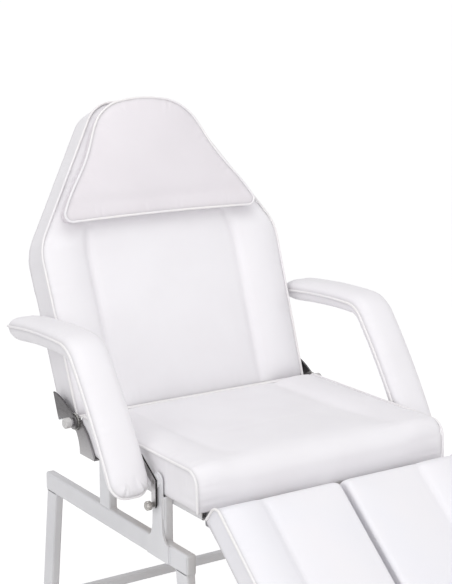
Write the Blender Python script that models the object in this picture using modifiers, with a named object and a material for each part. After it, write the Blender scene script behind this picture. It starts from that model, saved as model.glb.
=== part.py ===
"""Reclining treatment chair: padded seat, back, head pillow, arms and split leg rest on a steel frame.

Metres, +Z up, floor at Z = 0. The chair faces -Y. Right and left are the sitter's: right is -X, left is +X.
Until the last step Y runs back from the seat's front face; the root empty then centres the whole chair.
"""
import math

import bmesh
import bpy
from mathutils import Matrix, Vector

# Clearances
FIT = 0.0003              # gap between faces that touch
RUN = 0.0003              # gap round a pin, bolt or stud

# Seat
SEAT_WIDTH = 0.580
SEAT_DEPTH = 0.445
SEAT_LOW = 0.505          # lower edge of the seat above the floor
SEAT_SIDE = 0.076         # side panel, lower edge to piping
SEAT_CROWN = 0.013        # bolsters above the piping
SEAT_DISH = 0.005         # crease below the piping
SEAT_NOSE = 0.028         # radius of the front edge
SEAT_BOLSTER = 0.105      # width of a side bolster
SEAT_APRON = 0.062        # width of the front bolster
SEAT_BOARD = 0.018        # plywood thickness
BOARD_INSET = 0.006       # plywood edge inside the cover
DRAW_IN = 0.003           # cushion sides drawn in between the corners

# Steel tubes of the frame
TUBE_DEEP = 0.040
TUBE_WIDE = 0.020
TUBE_WALL = 0.0015
TUBE_CORNER = 0.004
FRAME_OUT = 0.0015        # outer face of the posts beyond the seat's side
SIDE_RAIL_DROP = 0.090    # side rail's top below the seat's lower edge
SIDE_RAIL_FRONT = 0.035
SIDE_RAIL_BEHIND = 0.155  # rear end of the side rail behind the seat
RAIL_GAP = 0.007          # seat rail's rear end in front of the hinge flange
CROSS_FRONT = 0.014       # front face of the front cross rail
POST_INSET = 0.004        # rear post in front of the seat rail's rear end
LEG_RAKE = math.radians(8.0)
STRETCHER_HEIGHT = 0.120
FOOT_HEIGHT = 0.016
FOOT_LIP = 0.003          # rubber foot wider than its tube
FOOT_PLUG = 0.012
PLUG_SLACK = 0.004        # plug inside its tube, all round

# Backrest
BACK_TILT = math.radians(21.3)
PIVOT_BACK = 0.007        # back pivot behind the seat's rear face
PIVOT_UP = 0.060          # back pivot above the seat's lower edge
BACK_SET = 0.0107         # front plane behind the pivot
BACK_RISE = 0.0102        # bottom edge above the pivot
BACK_HEIGHT = 0.657
BACK_NARROW = 0.005       # bottom of the back inside the seat's side
BACK_FLARE = 0.0055       # shoulder outside the seat's side
BACK_SHOULDER = 0.356     # height of the shoulder corner
BACK_SHOULDER_R = 0.110
BACK_HALF_TOP = 0.103
BACK_TOP_R = 0.078
BACK_FOAM = 0.040
BACK_CARCASS = 0.020      # board and cross tube behind the foam
BACK_CROWN = 0.015
BACK_DISH = 0.005
BACK_BOLSTER = 0.110
CROSS_TUBE_UP = 0.002     # cross tube above the back's bottom edge

# Head pillow
PILLOW_LOW = 0.397        # above the back's bottom edge
PILLOW_TOP = 0.657
PILLOW_HALF_LOW = 0.248
PILLOW_HALF_TOP = 0.097
PILLOW_LOW_R = 0.016
PILLOW_TOP_R = 0.070
PILLOW_SIDE = 0.024       # boxing
PILLOW_CROWN = 0.016

# Back hinge
PLATE = 0.004
PLATE_EYE = 0.015
PLATE_FOOT_FRONT = 0.075  # lower plate's foot in front of the pivot
PLATE_FOOT_REAR = 0.015
PLATE_FLANGE = 0.060      # lower plate's flange under the seat board
PLATE_ARM = 0.062         # upper plate's reach behind the pivot
PLATE_ARM_TOP = 0.072
PLATE_ARM_LOW = 0.020
DISC = 0.003
DISC_R = 0.018
DISC_TOOTH = 0.0015
DISC_TEETH = 18
BOLT_R = 0.005
NUT_R = 0.009
NUT = 0.005
BOLT_HEAD = 0.0008
BOLT_HEAD_R = 0.008
KNOB_R = 0.011
KNOB = 0.014
KNOB_BORE = 0.010
KNOB_ROUND = 0.002

# Arms
ARM_PIVOT_Y = 0.131
ARM_PIVOT_UP = 0.027      # arm pivot above the seat's lower edge
ARM_FOOT_BACK = 0.0018    # lower end of the arm's seam behind the pivot
ARM_FOOT_DROP = 0.0216    # and below it
ARM_LEG = 0.277
ARM_FOOT_ANGLE = math.radians(61.9)
ARM_LEG_ANGLE = math.radians(51.2)
ARM_BEND = 0.067
ARM_TOP = 0.250
ARM_TOP_ANGLE = math.radians(1.8)
ARM_TIP_ANGLE = math.radians(-8.8)
ARM_WIDTH = 0.084
ARM_END_R = 0.030
ARM_CROWN = 0.017
ARM_BASE = 0.030
BRACKET = 0.004
BRACKET_HALF = 0.017
BRACKET_NECK = 0.045      # where the bracket's sides start to flare, below the seat's lower edge
BRACKET_FOOT_HALF = 0.038
BOSS = 0.0033             # boss round the pivot hole, proud of the bracket
BOSS_R = 0.013
STRAP = 0.004
STRAP_HALF = 0.0075
STRAP_REACH = 0.072       # along the arm's leg, where the strap ends
PIN_R = 0.004
PIN_HEAD_R = 0.0065
PIN_HEAD = 0.0008
LOCK_BELOW = 0.045        # lock knob below the arm pivot
LOCK_STUD_R = 0.003
LOCK_NECK_R = 0.005
LOCK_NECK = 0.006
LOCK_HEAD_R = 0.0095
LOCK_HEAD = 0.011

# Leg rests
LEG_SLOPE = math.radians(40.0)
LEG_PIVOT_OUT = 0.020     # hinge axis in front of the seat's front face
LEG_PIVOT_DROP = 0.026    # and below the seat's lower edge
LEG_GAP = 0.012
LEG_INSET = 0.009         # outer side inside the seat's side
LEG_HEEL = 0.015          # rear end behind the hinge axis, along the leg rest
LEG_LENGTH = 0.460
LEG_SIDE = 0.050          # board and boxing
LEG_BOARD = 0.012
LEG_CROWN = 0.012
LEG_DISH = 0.004
LEG_BOLSTER = 0.100
LEG_NOSE = 0.018          # radius of its end edges
LEG_STRAP = 0.005
LEG_STRAP_WIDE = 0.030
LEG_STRAP_LONG = 0.380
LEG_STRAP_IN = 0.069      # middle of the inner strap from the leg rest's inner side
LEG_STRAP_OUT = 0.091     # middle of the outer strap from its outer side
LEG_EYE = 0.011
LEG_PIN_R = 0.005
LEG_PIN_HEAD_R = 0.008
LEG_PIN_HEAD = 0.003
LEG_PIN_TAIL = 0.003
EAR = 0.005
EAR_TOP_DROP = 0.016
WELD_STEP = 0.0005        # joined flats stand back from the edge they meet
LEVER = 0.008
LEVER_HUB_R = 0.0105
LEVER_TIP_R = 0.006
LEVER_LONG = 0.045

# Planes that follow from those sizes
SEAT_HALF = SEAT_WIDTH / 2
SEAT_TOP = SEAT_LOW + SEAT_SIDE
SIDE_RAIL_REAR = SEAT_DEPTH + SIDE_RAIL_BEHIND
SEAT_RAIL_REAR = SEAT_DEPTH + PIVOT_BACK - PLATE_FOOT_FRONT - RAIL_GAP
REAR_POST = SEAT_RAIL_REAR - POST_INSET - TUBE_DEEP / 2
BACK_HALF_LOW = SEAT_HALF - BACK_NARROW
BACK_HALF_SHOULDER = SEAT_HALF + BACK_FLARE
LEG_OUTER = SEAT_HALF - LEG_INSET
LEG_STRAP_INNER = LEG_GAP / 2 + LEG_STRAP_IN
LEG_STRAP_OUTER = LEG_OUTER - LEG_STRAP_OUT
POST_OUT = SEAT_HALF + FRAME_OUT
POST_IN = POST_OUT - TUBE_WIDE
RAIL_OUT = POST_IN - FIT
RAIL_IN = RAIL_OUT - TUBE_WIDE
SIDE_RAIL_TOP = SEAT_LOW - SIDE_RAIL_DROP
SIDE_RAIL_LOW = SIDE_RAIL_TOP - TUBE_DEEP
LOWER_PLATE_IN = POST_OUT
DISC_IN = LOWER_PLATE_IN + PLATE + FIT
UPPER_PLATE_IN = DISC_IN + DISC + FIT
NUT_IN = UPPER_PLATE_IN + PLATE + FIT
KNOB_IN = NUT_IN + NUT + FIT
BRACKET_IN = POST_OUT + FIT
LOCK_TIP = BRACKET_IN + BRACKET + FIT
STRAP_IN = BRACKET_IN + BRACKET + BOSS + FIT
ARM_IN = STRAP_IN + STRAP + FIT
BACK_PIVOT = Vector((0.0, SEAT_DEPTH + PIVOT_BACK, SEAT_LOW + PIVOT_UP))
LEG_PIVOT = Vector((0.0, -LEG_PIVOT_OUT, SEAT_LOW - LEG_PIVOT_DROP))
LEG_BOARD_LOW = LEG_EYE + 2 * FIT
SIDES = (("right", -1), ("left", 1))

# How a flat outline or a turned profile is laid: its own Z along X, or along Y
ALONG_X = (math.pi / 2, 0.0, math.pi / 2)
ALONG_Y = (math.pi / 2, 0.0, 0.0)

# Colour, roughness and metallic value of each finish
FINISHES = {
    "white_vinyl": ((0.90, 0.88, 0.89, 1.0), 0.42, 0.0),
    "plywood": ((0.62, 0.47, 0.31, 1.0), 0.70, 0.0),
    "white_paint": ((0.86, 0.86, 0.87, 1.0), 0.35, 0.0),
    "chrome": ((0.78, 0.78, 0.80, 1.0), 0.10, 1.0),
    "black_paint": ((0.03, 0.03, 0.03, 1.0), 0.45, 0.0),
    "zinc": ((0.66, 0.66, 0.68, 1.0), 0.30, 1.0),
    "white_plastic": ((0.88, 0.88, 0.87, 1.0), 0.35, 0.0),
    "black_nylon": ((0.04, 0.04, 0.04, 1.0), 0.55, 0.0),
    "rubber": ((0.05, 0.05, 0.05, 1.0), 0.80, 0.0),
}

for old in list(bpy.data.objects):
    bpy.data.objects.remove(old, do_unlink=True)

chair = bpy.data.collections.new("treatment_chair")
cutters = bpy.data.collections.new("cutters")
bpy.context.scene.collection.children.link(chair)
bpy.context.scene.collection.children.link(cutters)


def empty(name, parent=None, location=(0.0, 0.0, 0.0), turn=0.0):
    """An empty that carries pieces, turned about X."""
    holder = bpy.data.objects.new(name, None)
    holder.empty_display_size = 0.05
    holder.parent = parent
    holder.location = location
    holder.rotation_euler.x = turn
    chair.objects.link(holder)
    return holder


def piece(name, mesh, finish, parent, location=(0.0, 0.0, 0.0), rotation=(0.0, 0.0, 0.0)):
    """One named sub-part with its own material."""
    colour, roughness, metallic = FINISHES[finish]
    material = bpy.data.materials.new(f"{name}_{finish}")
    material.use_nodes = True
    shader = material.node_tree.nodes["Principled BSDF"]
    shader.inputs["Base Color"].default_value = colour
    shader.inputs["Roughness"].default_value = roughness
    shader.inputs["Metallic"].default_value = metallic
    mesh.name = name
    mesh.materials.clear()
    mesh.materials.append(material)
    mesh.shade_smooth()
    mesh.set_sharp_from_angle(angle=math.radians(32.0))
    part = bpy.data.objects.new(name, mesh)
    part.parent = parent
    part.location = location
    part.rotation_euler = rotation
    chair.objects.link(part)
    return part


def finish_mesh(bm, name="mesh"):
    """Weld, face outwards and hand over as a mesh."""
    bmesh.ops.remove_doubles(bm, verts=bm.verts[:], dist=1e-6)
    bmesh.ops.recalc_face_normals(bm, faces=bm.faces[:])
    mesh = bpy.data.meshes.new(name)
    bm.to_mesh(mesh)
    bm.free()
    return mesh


def evaluated_mesh(data, modifier=None):
    """Mesh of a curve, or of a profile with its Screw modifier, welded."""
    holder = bpy.data.objects.new("holder", data)
    bpy.context.scene.collection.objects.link(holder)
    if modifier:
        screw = holder.modifiers.new("turn", "SCREW")
        for key, value in modifier.items():
            setattr(screw, key, value)
    graph = bpy.context.evaluated_depsgraph_get()
    raw = bpy.data.meshes.new_from_object(holder.evaluated_get(graph))
    bpy.data.objects.remove(holder)
    bm = bmesh.new()
    bm.from_mesh(raw)
    bpy.data.meshes.remove(raw)
    return finish_mesh(bm)


def flat(loops, thickness):
    """A flat outline with holes, as a filled 2D curve with half its thickness on each side."""
    curve = bpy.data.curves.new("outline", "CURVE")
    curve.dimensions = "2D"
    curve.fill_mode = "BOTH"
    curve.extrude = thickness / 2
    for loop in loops:
        spline = curve.splines.new("POLY")
        spline.points.add(len(loop) - 1)
        for point, (along, up) in zip(spline.points, loop):
            point.co = (along, up, 0.0, 1.0)
        spline.use_cyclic_u = True
    return evaluated_mesh(curve)


def turned(profile, steps=16):
    """A profile of (radius, height) from the top of the axis to its bottom, turned about Z."""
    mesh = bpy.data.meshes.new("profile")
    points = [(radius, 0.0, height) for radius, height in profile]
    mesh.from_pydata(points, [(i, i + 1) for i in range(len(points) - 1)], [])
    screw = {"axis": "Z", "steps": steps, "render_steps": steps, "use_merge_vertices": True}
    return evaluated_mesh(mesh, {**screw, "merge_threshold": 1e-6})


def block(size):
    """A plain box about its middle."""
    bm = bmesh.new()
    bmesh.ops.create_cube(bm, size=1.0, matrix=Matrix.Diagonal((*size, 1.0)))
    return finish_mesh(bm)


def weld_on(part, mesh, location=(0.0, 0.0, 0.0), rotation=(0.0, 0.0, 0.0)):
    """Join a further shape to a piece, placed in the frame of the same parent."""
    shape = bpy.data.objects.new(f"{part.name}_weld", mesh)
    shape.parent = part.parent
    shape.location = location
    shape.rotation_euler = rotation
    shape.hide_render = True
    shape.display_type = "WIRE"
    cutters.objects.link(shape)
    union = part.modifiers.new("weld", "BOOLEAN")
    union.operation = "UNION"
    union.object = shape


def padded(cuts, shape, flat_side=True):
    """A cushion: a unit cube cut along its three axes, each point then moved by the shape function.

    Its lower side is flat unless told otherwise, and is then filled in one piece.
    """
    bm = bmesh.new()
    bmesh.ops.create_cube(bm, size=1.0, matrix=Matrix.Translation((0.5, 0.5, 0.5)))
    for axis, places in enumerate(cuts):
        normal = Vector((0.0, 0.0, 0.0))
        normal[axis] = 1.0
        for place in places:
            everything = bm.verts[:] + bm.edges[:] + bm.faces[:]
            bmesh.ops.bisect_plane(bm, geom=everything, plane_co=normal * place, plane_no=normal)
    if flat_side:
        lower = [face for face in bm.faces if max(vert.co.z for vert in face.verts) < 1e-4]
        bmesh.ops.delete(bm, geom=lower, context="FACES")
    for vert in bm.verts:
        vert.co = shape(*vert.co)
    rim = [edge for edge in bm.edges if edge.is_boundary]
    if rim:
        bmesh.ops.triangle_fill(bm, use_beauty=True, edges=rim)
    return finish_mesh(bm)


def arc(centre, radius, start, end, steps):
    """Points on a circle, angles in degrees."""
    turns = [math.radians(start + (end - start) * i / steps) for i in range(steps + 1)]
    return [(centre[0] + radius * math.cos(t), centre[1] + radius * math.sin(t)) for t in turns]


def circle(centre, radius, steps=16):
    """A closed ring of points."""
    return arc(centre, radius, 0.0, 360.0, steps)[:-1]


def bow(start, control, end, steps=5):
    """Points of a quadratic curve between two points, both included."""
    points = []
    for i in range(steps + 1):
        t = i / steps
        weights = ((1 - t) ** 2, 2 * t * (1 - t), t * t)
        points.append(tuple(sum(w * p[k] for w, p in zip(weights, (start, control, end))) for k in (0, 1)))
    return points


def filleted(corners, steps=6):
    """An open outline of (x, y, radius) corners with each inner corner rounded to its radius."""
    points = [Vector(corners[0][:2])]
    for before, corner, after in zip(corners, corners[1:], corners[2:]):
        here = Vector(corner[:2])
        back = (Vector(before[:2]) - here).normalized()
        ahead = (Vector(after[:2]) - here).normalized()
        half = back.angle(ahead) / 2
        reach = corner[2] / math.tan(half)
        middle = here + (back + ahead).normalized() * (corner[2] / math.sin(half))
        first = here + back * reach - middle
        swing = first.angle_signed(here + ahead * reach - middle)
        for i in range(steps + 1):
            points.append(middle + Matrix.Rotation(-swing * i / steps, 2) @ first)
    points.append(Vector(corners[-1][:2]))
    return points


def width_at(outline, height):
    """Half-width of an outline of rising (half-width, height) points at one height."""
    for low, high in zip(outline, outline[1:]):
        if low.y <= height <= high.y and high.y > low.y:
            return low.x + (high.x - low.x) * (height - low.y) / (high.y - low.y)
    return outline[-1].x if height > outline[-1].y else outline[0].x


def levels(outline, extra=()):
    """Heights of an outline's points and some others between its ends, three millimetres or more apart."""
    kept = [outline[0].y] + list(extra) + [outline[-1].y]
    for point in outline:
        if min(abs(point.y - level) for level in kept) > 0.003:
            kept.append(point.y)
    return sorted(kept)[1:-1]


def tube(deep, wide, length):
    """A square-cut rectangular tube, open at both ends, along its own Z."""
    half_x, half_y = wide / 2 - TUBE_CORNER, deep / 2 - TUBE_CORNER
    outer = []
    for sx, sy, start in ((1, 1, 0), (-1, 1, 90), (-1, -1, 180), (1, -1, 270)):
        outer += arc((sx * half_x, sy * half_y), TUBE_CORNER, start, start + 90, 2)
    in_x, in_y = wide / 2 - TUBE_WALL, deep / 2 - TUBE_WALL
    inner = [(in_x, in_y), (-in_x, in_y), (-in_x, -in_y), (in_x, -in_y)]
    return flat([outer, inner], length)


def bolster(place, edge, crease, crown, dish):
    """Height over the piping across a pad: a round bolster from edge to crease, a shallow dish inside."""
    if place >= crease:
        t = (edge - place) / (edge - crease)
        return crown * math.sin(math.pi * t) ** 0.75 - dish * t ** 3
    return -dish + 0.8 * dish * (1 - (place / crease) ** 2)


def nose(distance, radius):
    """Drop of a rounded edge at a distance from its end face."""
    if distance >= radius:
        return 0.0
    return radius - math.sqrt(radius ** 2 - (radius - distance) ** 2)


def both_ways(places):
    """Cuts of a half, from its middle out, as cuts of the whole from 0 to 1."""
    return sorted({0.5 + s * 0.5 * p for p in places for s in (-1, 1)})


root = empty("chair_root")

# Seat: plywood board inside the cover and a cushion with side bolsters and a rounded front
seat_crease = SEAT_HALF - SEAT_BOLSTER
seat_board_top = SEAT_LOW + FIT + SEAT_BOARD
board_size = (SEAT_WIDTH - 2 * BOARD_INSET, SEAT_DEPTH - 2 * BOARD_INSET, SEAT_BOARD)
piece("seat_board", block(board_size), "plywood", root,
      (0.0, SEAT_DEPTH / 2, SEAT_LOW + FIT + SEAT_BOARD / 2))


def seat_shape(u, v, w):
    """Seat cushion: bolsters along both sides and the front, round front and rear edges."""
    x, y = (2 * u - 1) * SEAT_HALF, v * SEAT_DEPTH
    swell = bolster(abs(x), SEAT_HALF, seat_crease, SEAT_CROWN, SEAT_DISH)
    if y < SEAT_APRON:
        apron = SEAT_CROWN * math.sin(math.pi * y / SEAT_APRON) ** 0.75 - SEAT_DISH * (y / SEAT_APRON) ** 3
        swell = max(swell, 0.6 * apron)
    ends = nose(y, SEAT_NOSE) + nose(SEAT_DEPTH - y, SEAT_NOSE / 2)
    top = SEAT_TOP + swell * min(1.0, (SEAT_DEPTH - y) / SEAT_NOSE) - ends
    low = seat_board_top + FIT
    drawn = DRAW_IN * math.sin(math.pi * w) * math.sin(math.pi * v)
    return Vector((x * (1 - drawn / SEAT_HALF), y, low + w * (top - low)))


seat_u = [(SEAT_HALF - SEAT_BOLSTER * t) / SEAT_HALF for t in (0.08, 0.25, 0.5, 0.8, 1.0)]
seat_v = [SEAT_NOSE * t / SEAT_DEPTH for t in (0.12, 0.4, 1.0)]
seat_v += [SEAT_APRON * t / SEAT_DEPTH for t in (0.75, 1.0, 1.3)]
seat_v += [0.5, 0.85, 1 - 0.3 * SEAT_NOSE / SEAT_DEPTH]
seat_cuts = (both_ways(seat_u + [0.0, 0.35, seat_crease / SEAT_HALF * 0.9]), seat_v, [0.5])
piece("seat_cushion", padded(seat_cuts, seat_shape), "white_vinyl", root)

# Frame under the seat: rails, cross rails, posts, side rails, raked legs, stretcher and rubber feet
front_post = ARM_PIVOT_Y
post_length = SIDE_RAIL_DROP - FIT
rail_front = CROSS_FRONT
rail_length = SEAT_RAIL_REAR - rail_front
cross_long = 2 * (RAIL_IN - FIT)
cross_rear = SEAT_RAIL_REAR - TUBE_WIDE
for label, y in (("front", CROSS_FRONT), ("rear", cross_rear)):
    piece(f"seat_cross_rail_{label}", tube(TUBE_DEEP, TUBE_WIDE, cross_long), "white_paint", root,
          (0.0, y + TUBE_WIDE / 2, SEAT_LOW - TUBE_DEEP / 2), ALONG_X)

leg_top = SIDE_RAIL_LOW - FIT
leg_low = FOOT_HEIGHT + FIT
leg_middle = (leg_top + leg_low) / 2


def foot():
    """A rubber foot: a pad under the tube's end with a plug inside it."""
    bm = bmesh.new()
    size = (TUBE_WIDE + 2 * FOOT_LIP, TUBE_DEEP + 2 * FOOT_LIP, FOOT_HEIGHT, 1.0)
    bmesh.ops.create_cube(bm, size=1.0, matrix=Matrix.Diagonal(size))
    top = max(bm.faces, key=lambda face: face.calc_center_median().z)
    inset = FOOT_LIP + TUBE_WALL + PLUG_SLACK
    bmesh.ops.inset_region(bm, faces=[top], thickness=inset, use_even_offset=True)
    raised = bmesh.ops.extrude_discrete_faces(bm, faces=[top])["faces"]
    bmesh.ops.translate(bm, verts=raised[0].verts[:], vec=(0.0, 0.0, FOOT_PLUG))
    return finish_mesh(bm)


for side, sx in SIDES:
    post_x = sx * (POST_OUT - TUBE_WIDE / 2)
    piece(f"seat_rail_{side}", tube(TUBE_WIDE, TUBE_WIDE, rail_length), "white_paint", root,
          (sx * (RAIL_OUT - TUBE_WIDE / 2), rail_front + rail_length / 2, SEAT_LOW - TUBE_WIDE / 2), ALONG_Y)
    for label, y in (("front", front_post), ("rear", REAR_POST)):
        piece(f"{label}_post_{side}", tube(TUBE_DEEP, TUBE_WIDE, post_length), "white_paint", root,
              (post_x, y, SEAT_LOW - post_length / 2))
    piece(f"side_rail_{side}", tube(TUBE_DEEP, TUBE_WIDE, SIDE_RAIL_REAR - SIDE_RAIL_FRONT), "white_paint",
          root, (post_x, (SIDE_RAIL_FRONT + SIDE_RAIL_REAR) / 2, SIDE_RAIL_TOP - TUBE_DEEP / 2), ALONG_Y)
    for label, y, lean in (("front", SIDE_RAIL_FRONT + TUBE_DEEP / 2, -1),
                           ("rear", SIDE_RAIL_REAR - TUBE_DEEP / 2, 1)):
        leg = tube(TUBE_DEEP, TUBE_WIDE, leg_top - leg_low)
        shear = Matrix.Identity(4)
        shear[1][2] = -lean * math.tan(LEG_RAKE)
        leg.transform(shear)
        middle_y = y + lean * math.tan(LEG_RAKE) * (leg_top - leg_middle)
        piece(f"{label}_leg_{side}", leg, "white_paint", root, (post_x, middle_y, leg_middle))
        foot_y = y + lean * math.tan(LEG_RAKE) * (leg_top - leg_low)
        piece(f"rubber_foot_{label}_{side}", foot(), "rubber", root, (post_x, foot_y, FOOT_HEIGHT / 2))

rear_leg_y = SIDE_RAIL_REAR - TUBE_DEEP / 2 + math.tan(LEG_RAKE) * (leg_top - STRETCHER_HEIGHT)
piece("rear_stretcher", tube(TUBE_WIDE, TUBE_WIDE, 2 * (POST_IN - FIT)), "white_paint", root,
      (0.0, rear_leg_y, STRETCHER_HEIGHT), ALONG_X)

# Back hinge, fixed half: chromed lower plates with a flange under the board, and the pivot bolts
eye_hole = circle((0.0, 0.0), BOLT_R + RUN)
flange_low = -PIVOT_UP - PLATE
for side, sx in SIDES:
    front = (-PLATE_FOOT_FRONT, flange_low)
    rear = (-PLATE_FOOT_REAR, flange_low)
    eye_front = arc((0.0, 0.0), PLATE_EYE, 140.0, -20.0, 8)
    bell = bow(front, (-0.76 * PLATE_FOOT_FRONT, -0.33 * PIVOT_UP), eye_front[0])
    bell += eye_front[1:-1] + bow(eye_front[-1], (-PLATE_FOOT_REAR, -0.5 * PIVOT_UP), rear)
    lower = piece(f"back_hinge_lower_plate_{side}", flat([bell, eye_hole], PLATE), "chrome", root,
                  BACK_PIVOT + Vector((sx * (LOWER_PLATE_IN + PLATE / 2), 0.0, 0.0)), ALONG_X)
    flange_y = BACK_PIVOT.y - (PLATE_FOOT_FRONT + PLATE_FOOT_REAR) / 2
    weld_on(lower, block((PLATE_FLANGE, PLATE_FOOT_FRONT - PLATE_FOOT_REAR, PLATE)),
            (sx * (LOWER_PLATE_IN + PLATE - PLATE_FLANGE / 2), flange_y, SEAT_LOW - PLATE / 2))
    bolt_profile = [(0.0, KNOB_IN + KNOB_BORE - FIT), (BOLT_R, KNOB_IN + KNOB_BORE - FIT),
                    (BOLT_R, NUT_IN + NUT), (NUT_R, NUT_IN + NUT), (NUT_R, NUT_IN), (BOLT_R, NUT_IN),
                    (BOLT_R, LOWER_PLATE_IN - FIT), (BOLT_HEAD_R, LOWER_PLATE_IN - FIT),
                    (BOLT_HEAD_R, LOWER_PLATE_IN - FIT - BOLT_HEAD), (0.0, LOWER_PLATE_IN - FIT - BOLT_HEAD)]
    piece(f"back_pivot_bolt_{side}", turned(bolt_profile), "chrome", root, BACK_PIVOT,
          (0.0, sx * math.pi / 2, 0.0))

# Clamp knobs of the back hinge, which turn on the bolts
for side, sx in SIDES:
    knob_turn = empty(f"back_knob_axis_{side}", root, BACK_PIVOT)
    knob_top = KNOB_IN + KNOB
    knob_profile = [(0.0, knob_top), (KNOB_R - KNOB_ROUND, knob_top), (KNOB_R, knob_top - KNOB_ROUND),
                    (KNOB_R, KNOB_IN + KNOB_ROUND), (KNOB_R - KNOB_ROUND / 2, KNOB_IN),
                    (BOLT_R + RUN, KNOB_IN), (BOLT_R + RUN, KNOB_IN + KNOB_BORE), (0.0, KNOB_IN + KNOB_BORE)]
    piece(f"back_clamp_knob_{side}", turned(knob_profile, 20), "white_plastic", knob_turn,
          rotation=(0.0, sx * math.pi / 2, 0.0))

# Backrest, about its pivot: local Y runs back from the pivot, local Z up the back
back = empty("back_axis", root, BACK_PIVOT, -BACK_TILT)
back_outline = filleted([(BACK_HALF_LOW, 0.0, 0.0), (BACK_HALF_SHOULDER, BACK_SHOULDER, BACK_SHOULDER_R),
                         (BACK_HALF_TOP, BACK_HEIGHT, BACK_TOP_R), (0.0, BACK_HEIGHT, 0.0)])
fade_start, fade_end = PILLOW_LOW - 0.050, PILLOW_LOW - 0.006
back_levels = levels(back_outline, (fade_start, (fade_start + fade_end) / 2, fade_end))
back_crease = 1 - BACK_BOLSTER / BACK_HALF_SHOULDER
foam_rear = BACK_SET + BACK_FOAM
carcass_front = foam_rear + FIT
cross_tube_low = BACK_RISE + CROSS_TUBE_UP
board_low = cross_tube_low + TUBE_DEEP + FIT


def back_fade(height):
    """Share of the crown that is left at a height: none under the head pillow."""
    t = min(1.0, max(0.0, (height - fade_start) / (fade_end - fade_start)))
    return 1 - t * t * (3 - 2 * t)


def back_shape(u, v, w):
    """Back cushion: shaped outline, bolsters down both sides, flat where the pillow lies."""
    height = v * BACK_HEIGHT
    across = 2 * u - 1
    swell = bolster(abs(across), 1.0, back_crease, BACK_CROWN, BACK_DISH) * back_fade(height)
    front = BACK_SET - swell * min(1.0, height / SEAT_NOSE)
    drawn = 1 - DRAW_IN / BACK_HALF_LOW * math.sin(math.pi * w) * math.sin(math.pi * v)
    x = across * width_at(back_outline, height) * drawn
    return Vector((x, foam_rear + w * (front - foam_rear), BACK_RISE + height))


back_u = [1 - (1 - back_crease) * t for t in (0.08, 0.28, 0.55, 0.82, 1.0)]
back_v = [0.5 * SEAT_NOSE / BACK_HEIGHT, SEAT_NOSE / BACK_HEIGHT, 0.2, 0.38]
back_v += [level / BACK_HEIGHT for level in back_levels]
back_cuts = (both_ways(back_u + [0.0, 0.35, 0.9 * back_crease]), back_v, [0.5])
piece("backrest_cushion", padded(back_cuts, back_shape), "white_vinyl", back)

inset_outline = [(max(point.x - BOARD_INSET, 0.0), point.y + BACK_RISE) for point in back_outline]
board_edge = [(x, min(z, BACK_RISE + BACK_HEIGHT - BOARD_INSET)) for x, z in inset_outline if z > board_low]
board_start = (width_at(back_outline, board_low - BACK_RISE) - BOARD_INSET, board_low)
board_half = [board_start] + [point for point in board_edge if point[0] > 0.0]
board_loop = board_half + [(-x, z) for x, z in reversed(board_half)]
piece("backrest_board", flat([board_loop], BACK_CARCASS), "plywood", back,
      (0.0, carcass_front + BACK_CARCASS / 2, 0.0), ALONG_Y)
piece("back_cross_tube", tube(TUBE_DEEP, BACK_CARCASS, 2 * (UPPER_PLATE_IN - FIT)), "white_paint", back,
      (0.0, carcass_front + BACK_CARCASS / 2, cross_tube_low + TUBE_DEEP / 2), ALONG_X)

disc_rim = [(DISC_R - DISC_TOOTH * (i % 2)) for i in range(2 * DISC_TEETH)]
disc_loop = [arc((0.0, 0.0), r, 180.0 * i / DISC_TEETH, 360.0, 1)[0] for i, r in enumerate(disc_rim)]

plate_eye = arc((0.0, 0.0), PLATE_EYE, -60.0, -260.0, 10)
plate_tip = (PLATE_ARM, PLATE_ARM_TOP)
plate_heel = (PLATE_ARM, PLATE_ARM_LOW)
wing = plate_eye[:-1] + bow(plate_eye[-1], (0.42 * PLATE_ARM, 0.78 * PLATE_ARM_TOP), plate_tip)
wing += bow(plate_heel, (0.5 * PLATE_ARM, 0.6 * PLATE_ARM_LOW), plate_eye[0])[:-1]
for side, sx in SIDES:
    piece(f"back_hinge_upper_plate_{side}", flat([wing, eye_hole], PLATE), "chrome", back,
          (sx * (UPPER_PLATE_IN + PLATE / 2), 0.0, 0.0), ALONG_X)
    piece(f"back_lock_disc_{side}", flat([disc_loop, eye_hole], DISC), "zinc", back,
          (sx * (DISC_IN + DISC / 2), 0.0, 0.0), ALONG_X)

# Head pillow on the back's flat upper part
pillow_outline = filleted([(0.0, PILLOW_LOW, 0.0), (PILLOW_HALF_LOW, PILLOW_LOW, PILLOW_LOW_R),
                           (PILLOW_HALF_TOP, PILLOW_TOP, PILLOW_TOP_R), (0.0, PILLOW_TOP, 0.0)])[1:-1]
pillow_tall = PILLOW_TOP - PILLOW_LOW
pillow_levels = levels(pillow_outline)


def pillow_shape(u, v, w):
    """Head pillow: boxed edge all round and a soft crown that breaks above its lower edge."""
    height = PILLOW_LOW + v * pillow_tall
    across = 2 * u - 1
    dome = max(0.0, 1 - abs(across) ** 2.4) * math.sin(math.pi * min(1.0, 0.08 + 1.6 * v) / 2)
    dome *= math.sqrt(max(0.0, 1 - v ** 4))
    rear = BACK_SET - FIT
    front = rear - PILLOW_SIDE - PILLOW_CROWN * dome
    return Vector((across * width_at(pillow_outline, height), rear + w * (front - rear), BACK_RISE + height))


pillow_v = [(level - PILLOW_LOW) / pillow_tall for level in pillow_levels] + [0.3, 0.5]
piece("head_pillow", padded((both_ways([0.0, 0.35, 0.65, 0.85, 0.95]), sorted(pillow_v), []), pillow_shape),
      "white_vinyl", back)

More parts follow.
